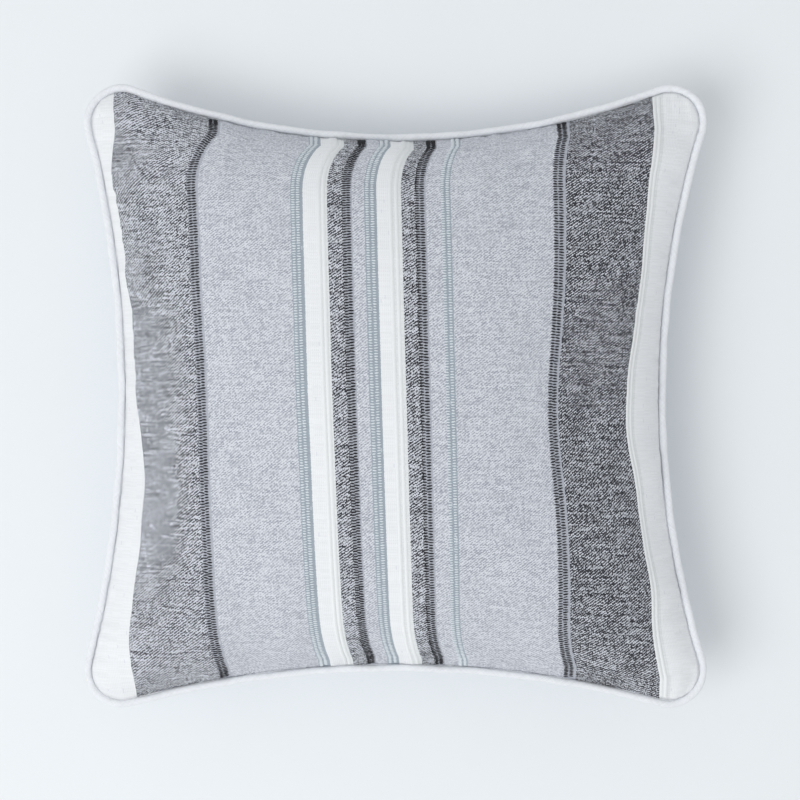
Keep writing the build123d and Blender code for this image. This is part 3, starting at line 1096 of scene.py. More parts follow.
def lumps(x: np.ndarray, y: np.ndarray, size: float, seed: int, count: int = 14) -> np.ndarray:
    """A smooth uneven surface about 0, made of seeded waves in every direction.

    Args:
        x: across.
        y: along.
        size: how far the lumps stand apart.
        seed: which lumps they are.
        count: how many waves make them up.

    Returns:
        Their heights, mostly between -1 and 1.
    """
    random = np.random.default_rng(seed)
    total = np.zeros_like(x)
    for _ in range(count):
        angle = random.uniform(0, math.tau)
        length = size * random.uniform(0.6, 1.7)
        phase = random.uniform(0, math.tau)
        total += np.sin((x * math.cos(angle) + y * math.sin(angle)) * math.tau / length + phase)
    return total / math.sqrt(count)


def smoothed(places: np.ndarray, times: int) -> np.ndarray:
    """A grid whose inner points have moved towards their neighbours a number of times.

    Args:
        places: points by row and column.
        times: how often.

    Returns:
        The evened grid.
    """
    result = places.copy()
    for _ in range(times):
        near = result[:-2, 1:-1] + result[2:, 1:-1] + result[1:-1, :-2] + result[1:-1, 2:]
        result[1:-1, 1:-1] = 0.5 * result[1:-1, 1:-1] + 0.125 * near
    return result


def cloth_mesh(
    name: str, places: np.ndarray, faces: np.ndarray, cloth: np.ndarray, finish: Finish
) -> bpy.types.Mesh:
    """A smooth mesh with the cloth's coordinates.

    Args:
        name: the mesh's name.
        places: one row for each point.
        faces: four points for each face.
        cloth: the flat cloth's coordinates, for each point or for each face's corners.
        finish: what it is made of.

    Returns:
        The mesh.
    """
    mesh = bpy.data.meshes.new(name)
    mesh.from_pydata(places.tolist(), [], faces.tolist())
    layer = mesh.uv_layers.new(name=CLOTH_MAP)
    corners = cloth if cloth.ndim == 3 else cloth[faces]
    layer.data.foreach_set("uv", corners.astype(np.float32).ravel())
    mesh.polygons.foreach_set("use_smooth", np.ones(len(faces), bool))
    mesh.materials.append(finish.material())
    return mesh


def shell(
    places: np.ndarray, ways: np.ndarray, faces: np.ndarray, thickness: float
) -> tuple[np.ndarray, np.ndarray, np.ndarray]:
    """Closes a surface into a layer of cloth.

    Args:
        places: the outer points.
        ways: the way out at each.
        faces: the outer faces, anticlockwise from outside.
        thickness: of the cloth.

    Returns:
        The points and faces of the closed layer, and the outer point that each of its points comes from.
    """
    count = len(places)
    edges = np.concatenate([faces[:, [k, (k + 1) % 4]] for k in range(4)])
    forward = edges[:, 0] * count + edges[:, 1]
    backward = edges[:, 1] * count + edges[:, 0]
    rim = edges[~np.isin(forward, backward)]
    sides = np.stack([rim[:, 1], rim[:, 0], rim[:, 0] + count, rim[:, 1] + count], axis=1)
    every = np.concatenate([faces, faces[:, ::-1] + count, sides])
    points = np.concatenate([places, places - ways * thickness])
    used, renumbered = np.unique(every, return_inverse=True)
    return points[used], renumbered.reshape(every.shape), used % count


def add_piece(name: str, mesh: bpy.types.Mesh, slot: str, replaces: tuple = ()) -> bpy.types.Object:
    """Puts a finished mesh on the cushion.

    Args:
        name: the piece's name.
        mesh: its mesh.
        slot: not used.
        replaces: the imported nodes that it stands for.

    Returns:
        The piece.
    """
    piece = bpy.data.objects.new(name, mesh)
    bpy.context.scene.collection.objects.link(piece)
    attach(piece, CUSHION)
    if replaces:
        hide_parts(*replaces)
    LOG.info("%s: %d faces, %s", name, len(mesh.polygons), mesh.materials[0].name)
    return piece


@dataclass
class Swelling:
    """The cloth simulation that a panel's flat cut swells in, held along its sewn edge."""

    pressure: float = 190.0
    frames: int = 24
    sewing_frames: int = 14  # how long the edge takes to reach the seam
    tension: float = 15.0
    compression: float = 5.0
    shear: float = 2.0
    bending: float = 0.5

    def run(self, places: np.ndarray, flat: np.ndarray, held: np.ndarray) -> np.ndarray:
        """Swells a panel from its flat cut, while its edge is drawn in to the seam.

        Args:
            places: where its points are sewn to, by row and column.
            flat: the same points on its flat cut.
            held: which points the sewing holds.

        Returns:
            Where its points come to rest.
        """
        faces = cells(*places.shape[:2]).reshape(-1, 4)
        lying = np.dstack([flat, places[..., 2]])
        mesh = bpy.data.meshes.new("cut")
        mesh.from_pydata(lying.reshape(-1, 3).tolist(), [], faces.tolist())
        cut = bpy.data.objects.new("cut", mesh)
        bpy.context.scene.collection.objects.link(cut)
        cut.shape_key_add(name="Basis")
        drawn_in = cut.shape_key_add(name="drawn in")
        drawn_in.data.foreach_set("co", places.astype(np.float32).ravel())
        for frame_number, value in ((1, 0.0), (1 + self.sewing_frames, 1.0)):
            drawn_in.value = value
            drawn_in.keyframe_insert("value", frame=frame_number)
        sewn = cut.vertex_groups.new(name="sewn")
        sewn.add(np.flatnonzero(held.ravel()).tolist(), 1.0, "REPLACE")
        modifier = cut.modifiers.new("cloth", "CLOTH")
        cloth = modifier.settings
        cloth.quality = 7
        cloth.mass = 0.02
        cloth.air_damping = 1.0
        cloth.tension_stiffness = self.tension
        cloth.compression_stiffness = self.compression
        cloth.shear_stiffness = self.shear
        cloth.bending_stiffness = self.bending
        cloth.vertex_group_mass = sewn.name
        cloth.pin_stiffness = 1.0
        cloth.use_pressure = True
        cloth.uniform_pressure_force = self.pressure
        cloth.effector_weights.gravity = 0.0
        modifier.collision_settings.use_collision = False
        modifier.point_cache.frame_start = 1
        modifier.point_cache.frame_end = self.frames
        for frame_number in range(1, self.frames + 1):
            bpy.context.scene.frame_set(frame_number)
        swollen = cut.evaluated_get(bpy.context.evaluated_depsgraph_get()).data
        result = np.empty(len(swollen.vertices) * 3, np.float32)
        swollen.vertices.foreach_get("co", result)
        bpy.context.scene.frame_set(1)
        bpy.data.objects.remove(cut)
        return result.reshape(places.shape).astype(float)


# ---------------------------------------------------------------- the cover


@dataclass(frozen=True)
class Crease:
    """A soft valley pressed into the cloth between two places in plan."""

    start: tuple
    end: tuple
    depth: float
    width: float

    def press(self, x: np.ndarray, y: np.ndarray) -> np.ndarray:
        """How deep the cloth lies in it at each place, in metres.

        Args:
            x: across.
            y: along.

        Returns:
            The depths.
        """
        ax, ay = self.start
        bx, by = self.end
        length = math.hypot(bx - ax, by - ay)
        along = ((x - ax) * (bx - ax) + (y - ay) * (by - ay)) / length
        off = ((x - ax) * (by - ay) - (y - ay) * (bx - ax)) / length
        wobble = waves(along, 0.05, 0.02, 61, 4) * self.width * 0.3
        beyond = np.maximum(np.maximum(-along, along - length), 0)
        fall = ((off - wobble) / self.width) ** 2
        return self.depth * np.exp(-fall - (beyond / (2.5 * self.width)) ** 2)


@dataclass
class Panel:
    """One panel of the cover: a flat cut, sewn into the seam and swollen by the pad."""

    name: str
    up: int  # 1 for the front, -1 for the back
    seam_height: float
    crown: float
    finish: Finish
    creases: tuple = ()
    inset: float = 0.0028
    seam_gap: float = 0.0005
    thickness: float = 0.0008
    cells_across: int = 96
    first_rise: float = 0.5  # how steeply the plain dome leaves the seam, 1 the least
    calming: int = 10  # how often the swollen cloth's finest wrinkles are evened out
    span: float = 0.43  # about how far the panel reaches, for the gathers' places
    floor_softness: float = 0.0016  # over what height the back turns flat on the surface
    swelling: Swelling = field(default_factory=Swelling)
    seed: int = 11
    places: np.ndarray = field(init=False, default=None)
    flat: np.ndarray = field(init=False, default=None)

    def start(self) -> tuple[np.ndarray, np.ndarray, np.ndarray]:
        """The panel before it swells: its outline on the seam, its flat cut, and which points are sewn.

        Returns:
            Its places, its flat cut and the mask of the held points.
        """
        count = self.cells_across
        plan = SEAM.patch(self.inset, count)
        flat = CUT.patch(0.0, count)
        height = self.seam_height + self.up * self.seam_gap
        places = np.dstack([plan, np.full(plan.shape[:2], height)])
        held = np.zeros(plan.shape[:2], bool)
        held[[0, -1]] = True
        held[:, [0, -1]] = True
        return places, flat, held

    def dome(self, places: np.ndarray) -> np.ndarray:
        """A plain dome over the outline, for when nothing is simulated.

        Args:
            places: points by row and column.

        Returns:
            The raised places.
        """
        share = np.linspace(0, 1, self.cells_across + 1)
        rise = 4 * share * (1 - share)
        lift = self.crown * (rise[:, None] * rise[None, :]) ** self.first_rise
        return places + np.dstack([np.zeros((*lift.shape, 2)), self.up * lift])

    def swell(self) -> None:
        """Finds the panel's shape, and adds what the sewing and the filling do to it."""
        places, flat, held = self.start()
        facing = slice(None, None, self.up)
        swollen = self.swelling.run(places[:, facing], flat[:, facing], held[:, facing])
        places = smoothed(swollen[:, facing], self.calming)
        LOG.info("%s swells %.1f mm", self.name, np.abs(places[..., 2] - self.seam_height).max() / MM)
        self.settle(places)
        self.places, self.flat = finer(places), finer(flat)
        self.pucker()

    def settle(self, places: np.ndarray) -> None:
        """Presses the back flat where it lies on the surface, without a hard line.

        Args:
            places: points by row and column.
        """
        if self.up < 0:
            soft = self.floor_softness
            height = places[..., 2]
            places[..., 2] = soft * np.log1p(np.exp(np.clip(height / soft, -40, 40)))
            places[[0, -1], :, 2] = height[[0, -1]]
            places[:, [0, -1], 2] = height[:, [0, -1]]

    def pucker(self) -> None:
        """Adds the gathers along the seam, the filling's unevenness and the creases."""
        rows, columns, _ = self.places.shape
        across = np.linspace(0, 1, columns)[None, :] * self.span * np.ones((rows, 1))
        along = np.linspace(0, 1, rows)[:, None] * self.span * np.ones((1, columns))
        edges = ((along, across), (self.span - across, along), (self.span - along, across), (across, along))
        lift = np.zeros((rows, columns))
        for number, (away, place) in enumerate(edges):
            gather = waves(place, 0.034, 0.007, self.seed + number, 14)
            draw = waves(place, 0.11, 0.04, self.seed + 20 + number, 5)
            lift += gather * 0.00055 * (away / 0.006) * np.exp(1 - away / 0.006)
            lift += draw * 0.0008 * (away / 0.02) * np.exp(1 - away / 0.02)
        nearest = np.minimum.reduce([away for away, _ in edges])
        fade = np.clip(nearest / 0.03, 0, 1)
        x, y = self.places[..., 0], self.places[..., 1]
        lift += lumps(x, y, 0.075, self.seed + 40) * 0.0005 * fade
        lift += lumps(x, y, 0.026, self.seed + 41) * 0.00012 * fade
        for crease in self.creases:
            lift -= crease.press(x, y) * np.clip(nearest / 0.008, 0, 1)
        if self.up < 0:
            lift *= np.clip((self.places[..., 2] - 0.001) / 0.006, 0, 1)
        lift[[0, -1]] = 0
        lift[:, [0, -1]] = 0
        self.places = self.places + (self.ways() * lift[..., None])

    def ways(self) -> np.ndarray:
        """The way out of the pillow at each point."""
        return grid_normals(self.places) * self.up

    def cloth(self) -> np.ndarray:
        """The cloth's coordinates at each point, before the cut's own skew."""
        return self.flat

    def open_cells(self, corners: np.ndarray) -> np.ndarray:
        """The cells of the grid that the cloth fills."""
        return corners.reshape(-1, 4)

    def mesh(self) -> bpy.types.Mesh:
        """The panel as a closed layer of cloth.

        Returns:
            The mesh.
        """
        corners = self.open_cells(cells(*self.places.shape[:2]))
        if self.up < 0:
            corners = corners[:, ::-1]
        points = self.places.reshape(-1, 3)
        made, faces, source = shell(points, self.ways().reshape(-1, 3), corners, self.thickness)
        return cloth_mesh(self.name, made, faces, self.cloth().reshape(-1, 2)[source], self.finish)

    def build(self, slot: str) -> bpy.types.Object:
        """Args:
            slot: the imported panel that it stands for.

        Returns:
            What was added.
        """
        self.swell()
        piece = add_piece(self.name, self.mesh(), slot, (slot,))
        return piece


@dataclass(frozen=True)
class Ladder:
    """Two columns of short thick yarns, half a pitch apart, on every stripe of one weave."""

    name: str
    weave: Weave
    yarn: Yarn
    pitch: float
    length: float
    thickness: float
    seed: int


@dataclass
class FrontPanel(Panel):
    """The striped front, with its ladders of thick yarns and its raised cream ribs."""

    cream: Yarn = Yarn("cream yarn", screen(243, 245, 245), screen(229, 232, 233), 1.0)
    rib_radius: float = 0.0019
    rib_sink: float = 0.00135  # how deep the middle of a rib's yarn lies in the cloth
    ladders: tuple = (
        Ladder(
            "black_ladder_yarns",
            Weave.DARK_LADDER,
            Yarn("black yarn", screen(8, 9, 14), screen(32, 33, 40), 0.9),
            0.00195,
            0.0038,
            0.00112,
            5,
        ),
        Ladder(
            "blue_green_ladder_yarns",
            Weave.PALE_LADDER,
            Yarn("blue-green yarn", screen(238, 243, 246), screen(208, 218, 224), 0.9),
            0.00185,
            0.0030,
            0.00105,
            9,
        ),
    )

    def cloth(self) -> np.ndarray:
        """The cloth's coordinates: it was sewn in tilted, hooked at its ends and drawn in at its sides.

        Returns:
            The coordinates in metres.
        """
        x, y = self.flat[..., 0] / MM, self.flat[..., 1] / MM
        tilt = (0.00014 * x - 0.0289) * y
        edge = np.clip((-150.0 - x) / 35.0, 0, 1)
        hook = (7.8 - 0.028 * x) * (1 - 0.5 * edge) * np.clip((y - 142.0) / 40.0, 0, 1.15) ** 2
        foot = (2.1 + 0.006 * x) * np.clip((-150.0 - y) / 33.0, 0, 1.5) ** 2
        left = 11.9 * np.exp(-(((y + 69.0) / 60.0) ** 2)) * edge
        right = -13.9 * np.exp(-(((y + 9.0) / 58.0) ** 2)) * np.clip((x - 80.0) / 60.0, 0, 1)
        return np.dstack([x - tilt - hook - foot - left - right, y]) * MM

    def trace(self, place_mm: float, lift: float) -> tuple[np.ndarray, np.ndarray]:
        """A line along the cloth at one place across the stripes.

        Args:
            place_mm: where across the stripes.
            lift: how far it stands off the cloth.

        Returns:
            Its places, and the way out of the pillow at each.
        """
        across = self.cloth()[..., 0] / MM - place_mm
        ways = self.ways()
        points, ups = [], []
        for row in range(1, len(across) - 1):
            line = across[row]
            at = np.flatnonzero((line[:-1] <= 0) & (line[1:] > 0))
            if len(at) == 0:
                continue
            k = at[0]
            share = -line[k] / (line[k + 1] - line[k])
            up = ways[row, k] * (1 - share) + ways[row, k + 1] * share
            points.append(self.places[row, k] * (1 - share) + self.places[row, k + 1] * share + up * lift)
            ups.append(up)
        return np.array(points), np.array(ups)

    def lay(self, ladder: Ladder) -> None:
        """Lays one kind of ladder on all of its stripes.

        Args:
            ladder: which ladder.
        """
        track = Track()
        for low, high in spans(ladder.weave):
            for k, side in enumerate((-1, 1)):
                points, ups = self.trace((low + high) / 2 + side * (high - low) * 0.235, 0.0001)
                step = (points[1] - points[0]) / np.linalg.norm(points[1] - points[0])
                points[0] += step * k * ladder.pitch / 2
                track.add(points, ups)
        sizes = (ladder.pitch, ladder.length, ladder.thickness)
        bars = Bars(ladder.name, ladder.yarn, *sizes, unevenness=1.0, seed=ladder.seed)
        add_piece(ladder.name, bars.mesh(track), "front_panel")

    def ribs(self) -> None:
        """Lays the cream ribs: two raised yarns side by side in each stripe."""
        track = Track()
        for low, high in spans(Weave.RIB):
            middle = (low + high) / 2
            for side in (-1, 1):
                track.add(*self.trace(middle + side * (high - low) * 0.25, -self.rib_sink))
        cords = Cords("cream_ribs", self.cream, self.rib_radius, pitch=0.0024, unevenness=0.02)
        add_piece("cream_ribs", cords.mesh(track), "front_panel")

    def build(self, slot: str) -> bpy.types.Object:
        """Adds the panel and the yarns that stand on it.

        Args:
            slot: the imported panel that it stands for.

        Returns:
            What was added.
        """
        piece = super().build(slot)
        for ladder in self.ladders:
            self.lay(ladder)
        self.ribs()
        return piece


@dataclass
class BackPanel(Panel):
    """The plain back, folded under along the zip that is let into its lower seam."""

    rows_down: tuple = (0.0, 0.0037, 0.00745, 0.0112, 0.0149, 0.0185)  # the first rows, down the slope
    fold_row: int = 4
    slope: float = math.radians(62.0)
    zip_half_angle: float = math.radians(12.5464837)
    stitch_down: float = 0.0179
    thread: Yarn = Yarn("sewing thread", screen(236, 239, 243), screen(206, 210, 216), 0.5)

    def zip_columns(self) -> tuple[int, int]:
        """The columns of the coarse grid that the zip's opening ends at.

        Returns:
            The first and the last column.
        """
        share = self.end_share()
        last = round(share * self.cells_across)
        return self.cells_across - last, last

    def end_share(self) -> float:
        """The share of the lower side at which the zip's opening ends.

        Returns:
            The share.
        """
        bow = SEAM.bow(Side.BOTTOM)
        whole = SEAM.half_length(Side.BOTTOM)
        return 0.5 + self.zip_half_angle * bow / (2 * whole)

    def shares(self) -> np.ndarray:
        """Shares along the lower side, with two of them at the ends of the zip's opening.

        Returns:
            The shares.
        """
        first, last = self.zip_columns()
        count = self.cells_across
        end = self.end_share()
        low = np.linspace(0, 1 - end, first + 1)
        middle = np.linspace(1 - end, end, last - first + 1)
        high = np.linspace(end, 1, count - last + 1)
        return np.concatenate([low, middle[1:], high[1:]])

    def start(self) -> tuple[np.ndarray, np.ndarray, np.ndarray]:
        """The panel before it swells, held on the zip's slope as well as in the seam.

        Returns:
            Its places, its flat cut and the mask of the held points.
        """
        count = self.cells_across
        first, last = self.zip_columns()
        near = slice(first - 1, last + 2)
        shares = self.shares()
        fixed = {}
        flat_fixed = {}
        for row, down in enumerate(self.rows_down):
            fixed[row] = SEAM.run(Side.BOTTOM, self.inset + down * math.cos(self.slope), shares)
            flat_fixed[row] = CUT.run(Side.BOTTOM, down, shares)
        plan = SEAM.patch(self.inset, count, held=(fixed, near))
        flat = CUT.patch(0.0, count, held=(flat_fixed, near))
        share = np.linspace(0, 1, count + 1)
        rise = 4 * share * (1 - share)
        dome = self.crown * (rise[:, None] * rise[None, :]) ** self.first_rise
        held = np.zeros(dome.shape, bool)
        for row, down in enumerate(self.rows_down):
            dome[row, near] = down * math.sin(self.slope) - (self.seam_gap if row else 0)
            held[row, near] = True
        held[[0, -1]] = True
        held[:, [0, -1]] = True
        places = np.dstack([plan, self.seam_height - self.seam_gap - dome])
        return places, flat, held

    def open_cells(self, corners: np.ndarray) -> np.ndarray:
        """Every cell but those that the zip's opening leaves out.

        Args:
            corners: the cells of the grid.

        Returns:
            The cells that are kept.
        """
        first, last = self.zip_columns()
        kept = np.ones(corners.shape[:2], bool)
        kept[: 2 * self.fold_row, 2 * first : 2 * last] = False
        return corners[kept]

    def pucker(self) -> None:
        """Adds the unevenness, but keeps the cloth by the zip where its tapes are."""
        first, last = self.zip_columns()
        straight = self.places[: 2 * len(self.rows_down) - 1, 2 * first - 2 : 2 * last + 3].copy()
        super().pucker()
        self.places[: len(straight), 2 * first - 2 : 2 * last + 3] = straight

    def topstitching(self) -> None:
        """Adds the row of stitches beside the fold, and a bar tack at each end of the opening."""
        row = Track()
        sweep = np.linspace(-self.zip_half_angle, self.zip_half_angle, 160)
        down = np.array([0.0, math.cos(self.slope), -math.sin(self.slope)])
        out = np.array([0.0, -math.sin(self.slope), -math.cos(self.slope)])
        bow = SEAM.bow(Side.BOTTOM)
        middle = SEAM.half - SEAM.pull_in[Side.BOTTOM]
        edge = np.array([0.0, -middle + self.inset, self.seam_height])
        centre_y = -(middle + bow)

        def carried(point: np.ndarray, angle: np.ndarray) -> np.ndarray:
            """A point and those that it passes through along the zip.

            Args:
                point: where it stands at the middle of the zip.
                angle: how far round it is carried, in radians.

            Returns:
                One place for each angle.
            """
            radius = point[1] - centre_y
            height = np.full_like(angle, point[2])
            return np.stack([radius * np.sin(angle), centre_y + radius * np.cos(angle), height], 1)

        stitches = edge + down * self.stitch_down + out * 0.0001
        ways = carried(stitches + out, sweep) - carried(stitches, sweep)
        row.add(carried(stitches, sweep), ways)
        sewn = {"along": True, "unevenness": 0.25, "seed": 4}
        bars = Bars("zip_topstitching", self.thread, 0.0031, 0.0027, 0.0006, **sewn)
        add_piece("zip_topstitching", bars.mesh(row), "zip_topstitch", ("zip_topstitch",))
        tacks = Track()
        for hand in (-1, 1):
            for k in range(4):
                angle = np.full(12, hand * (self.zip_half_angle + (0.0009 + 0.0006 * k) / 0.74))
                reach = np.linspace(0.0015, 0.0175, 12)[:, None]
                line = (edge + out * 0.0002)[None, :] + down[None, :] * reach
                radius = line[:, 1] - centre_y
                points = np.stack([radius * np.sin(angle), centre_y + radius * np.cos(angle), line[:, 2]], 1)
                tacks.add(points, np.repeat(out[None, :], 12, 0))
        packed = {"along": True, "unevenness": 0.5, "seed": 6}
        bars = Bars("zip_bar_tacks", self.thread, 0.0013, 0.0015, 0.00045, **packed)
        add_piece("zip_bar_tacks", bars.mesh(tacks), "back_panel")

    def build(self, slot: str) -> bpy.types.Object:
        """Adds the panel and the sewing round the zip.

        Args:
            slot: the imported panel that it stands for.

        Returns:
            What was added.
        """
        piece = super().build(slot)
        self.topstitching()
        return piece


@dataclass
class Piping:
    """The corded edge: a bias strip round a cord, with the flange that the seam catches."""

    seam_height: float
    finish: Finish
    radius: float = 0.0026
    around: int = 20
    count: int = 380  # places along each side
    flange: tuple = (0.0024, 0.0126)  # its outer and inner insets
    flange_half: float = 0.00042

    def mesh(self) -> bpy.types.Mesh:
        """The tube, puckered across, and the flange.

        Returns:
            The mesh.
        """
        line = SEAM.loop(0.0, self.count)
        total = len(line)
        step = np.linalg.norm(np.roll(line, -1, 0) - line, axis=1)
        along = np.concatenate([[0], np.cumsum(step)])
        place = along[:-1]
        inward = SEAM.loop(0.001, self.count) - line
        inward /= np.linalg.norm(inward, axis=1, keepdims=True)
        turn = np.arange(self.around) / self.around * math.tau
        pucker = waves(place, 0.009, 0.003, 71, 16)
        swing = waves(place, 0.06, 0.02, 72, 8)
        size = self.radius + 0.00008 * swing[:, None] * np.ones(self.around)[None, :]
        size += 0.00011 * pucker[:, None] * (0.6 + 0.4 * np.cos(turn)[None, :])
        reach = size * np.cos(turn)[None, :] + (waves(place, 0.09, 0.03, 73, 6) * 0.00022)[:, None]
        rise = size * np.sin(turn)[None, :] + (waves(place, 0.08, 0.03, 74, 6) * 0.0002)[:, None]
        plan = line[:, None, :] + inward[:, None, :] * reach[..., None]
        tube = np.dstack([plan, self.seam_height + rise])
        index = np.arange(total * self.around).reshape(total, self.around)
        ahead = np.roll(index, -1, 0)
        faces = np.stack([index, np.roll(index, -1, 1), np.roll(ahead, -1, 1), ahead], axis=-1)
        girth = np.arange(self.around + 1) / self.around * math.tau * self.radius
        at = np.dstack(np.meshgrid(along, girth, indexing="ij"))
        cloth = np.stack([at[:-1, :-1], at[:-1, 1:], at[1:, 1:], at[1:, :-1]], axis=2)
        turned = cloth @ np.array([[0.7071, 0.7071], [-0.7071, 0.7071]])
        flat_faces, flat_places, flat_cloth = self.flange_ring(len(tube.reshape(-1, 3)))
        places = np.concatenate([tube.reshape(-1, 3), flat_places])
        every = np.concatenate([faces.reshape(-1, 4), flat_faces])
        corners = np.concatenate([turned.reshape(-1, 4, 2), flat_cloth])
        return cloth_mesh("piping", places, every, corners, self.finish)

    def flange_ring(self, first: int) -> tuple[np.ndarray, np.ndarray, np.ndarray]:
        """The flange as a closed ring, its points numbered from first.

        Args:
            first: the number of its first point.

        Returns:
            Its faces, its points and their cloth coordinates.
        """
        count = self.count // 4
        outer, inner = (SEAM.loop(inset, count) for inset in self.flange)
        low, high = self.seam_height - self.flange_half, self.seam_height + self.flange_half
        section = [(outer, low), (inner, low), (inner, high), (outer, high)]
        ring = np.stack([np.column_stack([plan, np.full(len(plan), z)]) for plan, z in section], axis=1)
        index = first + np.arange(len(outer) * 4).reshape(-1, 4)
        ahead = np.roll(index, -1, 0)
        around = [index, ahead, np.roll(ahead, -1, 1), np.roll(index, -1, 1)]
        faces = np.stack(around, axis=-1).reshape(-1, 4)
        places = ring.reshape(-1, 3)
        return faces, places, places[faces - first][..., :2]

    def build(self) -> bpy.types.Object:
        """Adds the piping."""
        return add_piece("piping", self.mesh(), "piping_cover", ("piping_cover",))


# ---------------------------------------------------------------- the pad


@dataclass
class Pad:
    """The stuffed pad inside the cover: its case and the filling's tufts."""

    front: Panel
    back: Panel
    plan_share: float = 0.937
    height_share: float = 0.95

    def block(self, name: str, shrink: float, lump: float, finish: Finish) -> bpy.types.Mesh:
        """A closed form inside the cover.

        Args:
            name: the mesh's name.
            shrink: how much smaller than the pad it is, as a share.
            lump: how uneven it is, in metres.
            finish: what it is made of.

        Returns:
            The mesh.
        """
        seam = self.front.seam_height
        halves = []
        for panel in (self.front, self.back):
            grid = panel.places[::2, ::2].copy()
            grid[..., :2] *= self.plan_share * shrink
            grid[..., 2] = seam + (grid[..., 2] - seam) * self.height_share * shrink
            grid += grid_normals(grid) * (lumps(grid[..., 0], grid[..., 1], 0.03, 90) * lump)[..., None]
            halves.append(grid)
        top, bottom = halves
        bottom[[0, -1]] = top[[0, -1]]
        bottom[:, [0, -1]] = top[:, [0, -1]]
        faces = cells(*top.shape[:2]).reshape(-1, 4)
        count = top.shape[0] * top.shape[1]
        places = np.concatenate([top.reshape(-1, 3), bottom.reshape(-1, 3)])
        every = np.concatenate([faces, faces[:, ::-1] + count])
        rim = np.zeros(top.shape[:2], bool)
        rim[[0, -1]] = True
        rim[:, [0, -1]] = True
        joined = np.arange(2 * count)
        joined[count:][rim.ravel()] = np.flatnonzero(rim.ravel())
        every = joined[every]
        used, numbers = np.unique(every, return_inverse=True)
        every = numbers.reshape(every.shape)
        return cloth_mesh(name, places[used], every, places[used][:, :2], finish)

    def build(self) -> list[bpy.types.Object]:
        """Adds the case and the filling.

        Returns:
            What was added.
        """
        bonded = Fibre("bonded fibre cloth", screen(242, 242, 240), 2.5, 0.5)
        case = self.block("pad_case", 1.0, 0.0006, bonded)
        filling = self.block("pad_filling_tufts", 0.985, 0.0018, Fibre("polyester filling"))
        made = [
            add_piece("pad_case", case, "pad_case_front", ("pad_case_front", "pad_case_back")),
            add_piece("pad_filling_tufts", filling, "pad_filling", ("pad_filling",)),
        ]
        return made


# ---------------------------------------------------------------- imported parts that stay


@dataclass
class Hardware:
    """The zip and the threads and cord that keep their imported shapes, and their finishes."""

    tape: SolidWeave = SolidWeave("woven zip tape", screen(233, 236, 241), 0.45, 0.09)
    coil: Nylon = Nylon("nylon coil")
    enamel: CastMetal = CastMetal("painted die-cast metal")
    bare: CastMetal = CastMetal("bare zinc", screen(176, 178, 182), 1.0)
    thread: Yarn = Yarn("sewing thread", screen(236, 239, 243), screen(206, 210, 216), 0.5)
    cord: Yarn = Yarn("cotton cord", screen(236, 234, 226), screen(214, 211, 202), 2.0)

    def build(self) -> None:
        """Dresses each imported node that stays."""
        finishes = {
            "zip_tape_seam_side": self.tape,
            "zip_tape_back_side": self.tape,
            "zip_coil_seam_side": self.coil,
            "zip_coil_back_side": self.coil,
            "zip_top_stops": self.bare,
            "zip_bottom_stop": self.bare,
            "zip_slider": self.enamel,
            "zip_pull": self.enamel,
            "piping_cord": self.cord,
            "seam_thread": self.thread,
            "pad_seam_thread": self.thread,
        }
        for name, finish in finishes.items():
            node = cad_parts[name]
            node.data.materials.clear()
            node.data.materials.append(finish.material())
            LOG.info("%s keeps its packed shape: %s", name, finish.name)


# ---------------------------------------------------------------- the room


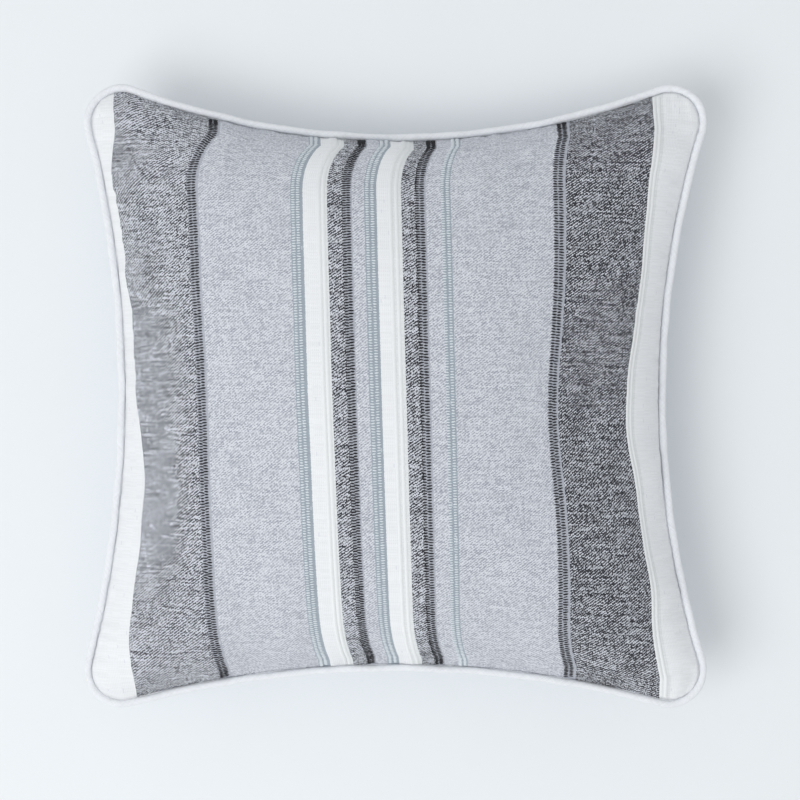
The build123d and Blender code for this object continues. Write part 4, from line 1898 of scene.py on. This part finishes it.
@dataclass
class Studio:
    """The pale surface, the soft light from the lower left and the camera straight above."""

    rim_height: float
    frame_width: float = 0.565  # of the view, at the seam
    lens: float = 85.0
    sensor: float = 36.0
    centre: tuple = (0.0032, -0.0028)

    def build(self) -> None:
        """Adds the floor, the lights and the camera."""
        self.floor()
        self.camera()
        self.lights()

    def floor(self) -> None:
        """Adds the pale surface."""
        mesh = bpy.data.meshes.new("surface")
        far = 3.0
        corners = [(-far, -far, 0), (far, -far, 0), (far, far, 0), (-far, far, 0)]
        mesh.from_pydata(corners, [], [(0, 1, 2, 3)])
        mesh.materials.append(PaleBoard("pale board").material())
        surface = bpy.data.objects.new("surface", mesh)
        bpy.context.scene.collection.objects.link(surface)

    def camera(self) -> None:
        """Adds the camera, looking straight down."""
        data = bpy.data.cameras.new("camera")
        data.lens = self.lens
        data.sensor_width = self.sensor
        data.clip_start = 0.01
        camera = bpy.data.objects.new("camera", data)
        camera.location = (*self.centre, self.rim_height + self.frame_width * self.lens / self.sensor)
        bpy.context.scene.collection.objects.link(camera)
        bpy.context.scene.camera = camera

    def lights(self) -> None:
        """Adds the sky's even light and one large soft lamp."""
        world = bpy.data.worlds.new("studio")
        world.use_nodes = True
        sky = world.node_tree.nodes["Background"]
        sky.inputs["Color"].default_value = (0.965, 0.98, 1.0, 1.0)
        sky.inputs["Strength"].default_value = 0.70
        bpy.context.scene.world = world
        bpy.context.scene.view_settings.view_transform = "Standard"
        self.lamp("window", (-1.40, -0.92, 2.75), 1.8, 42.0)

    def lamp(self, name: str, place: tuple, size: float, power: float) -> None:
        """Adds a square lamp that faces the pillow.

        Args:
            name: its name.
            place: where it stands.
            size: the length of its sides.
            power: in watts.
        """
        data = bpy.data.lights.new(name, "AREA")
        data.size = size
        data.energy = power
        lamp = bpy.data.objects.new(name, data)
        lamp.location = place
        aim = bpy.context.scene.camera.location.copy()
        aim.xyz = (0.0, 0.0, self.rim_height)
        lamp.rotation_euler = (aim - lamp.location).to_track_quat("-Z", "Y").to_euler()
        bpy.context.scene.collection.objects.link(lamp)


def main() -> None:
    """Builds the pillow and the room, and reports each piece."""
    logging.basicConfig(level=logging.INFO, format="%(message)s")
    low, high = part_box("piping_cover")
    seam_height = (low.z + high.z) / 2
    studio = Studio(seam_height)
    studio.build()
    creases = (
        Crease((-0.168, 0.150), (-0.140, 0.166), 0.0016, 0.0035),
        Crease((0.165, 0.060), (0.150, 0.075), 0.0008, 0.003),
    )
    front = FrontPanel("front_cloth", 1, seam_height, 0.074, StripedCloth("yarn-striped cotton"), creases)
    back = BackPanel("back_cloth", -1, seam_height, 0.068, PlainCloth("plain cotton canvas"), seed=31)
    for panel, slot in ((front, "front_panel"), (back, "back_panel")):
        piece = panel.build(slot)
        CUT.area()
    Piping(seam_height, PlainCloth("bias strip", screen(243, 246, 250), 0.5, 0.1)).build()
    Pad(front, back).build()
    Hardware().build()


if __name__ == "__main__":
    main()
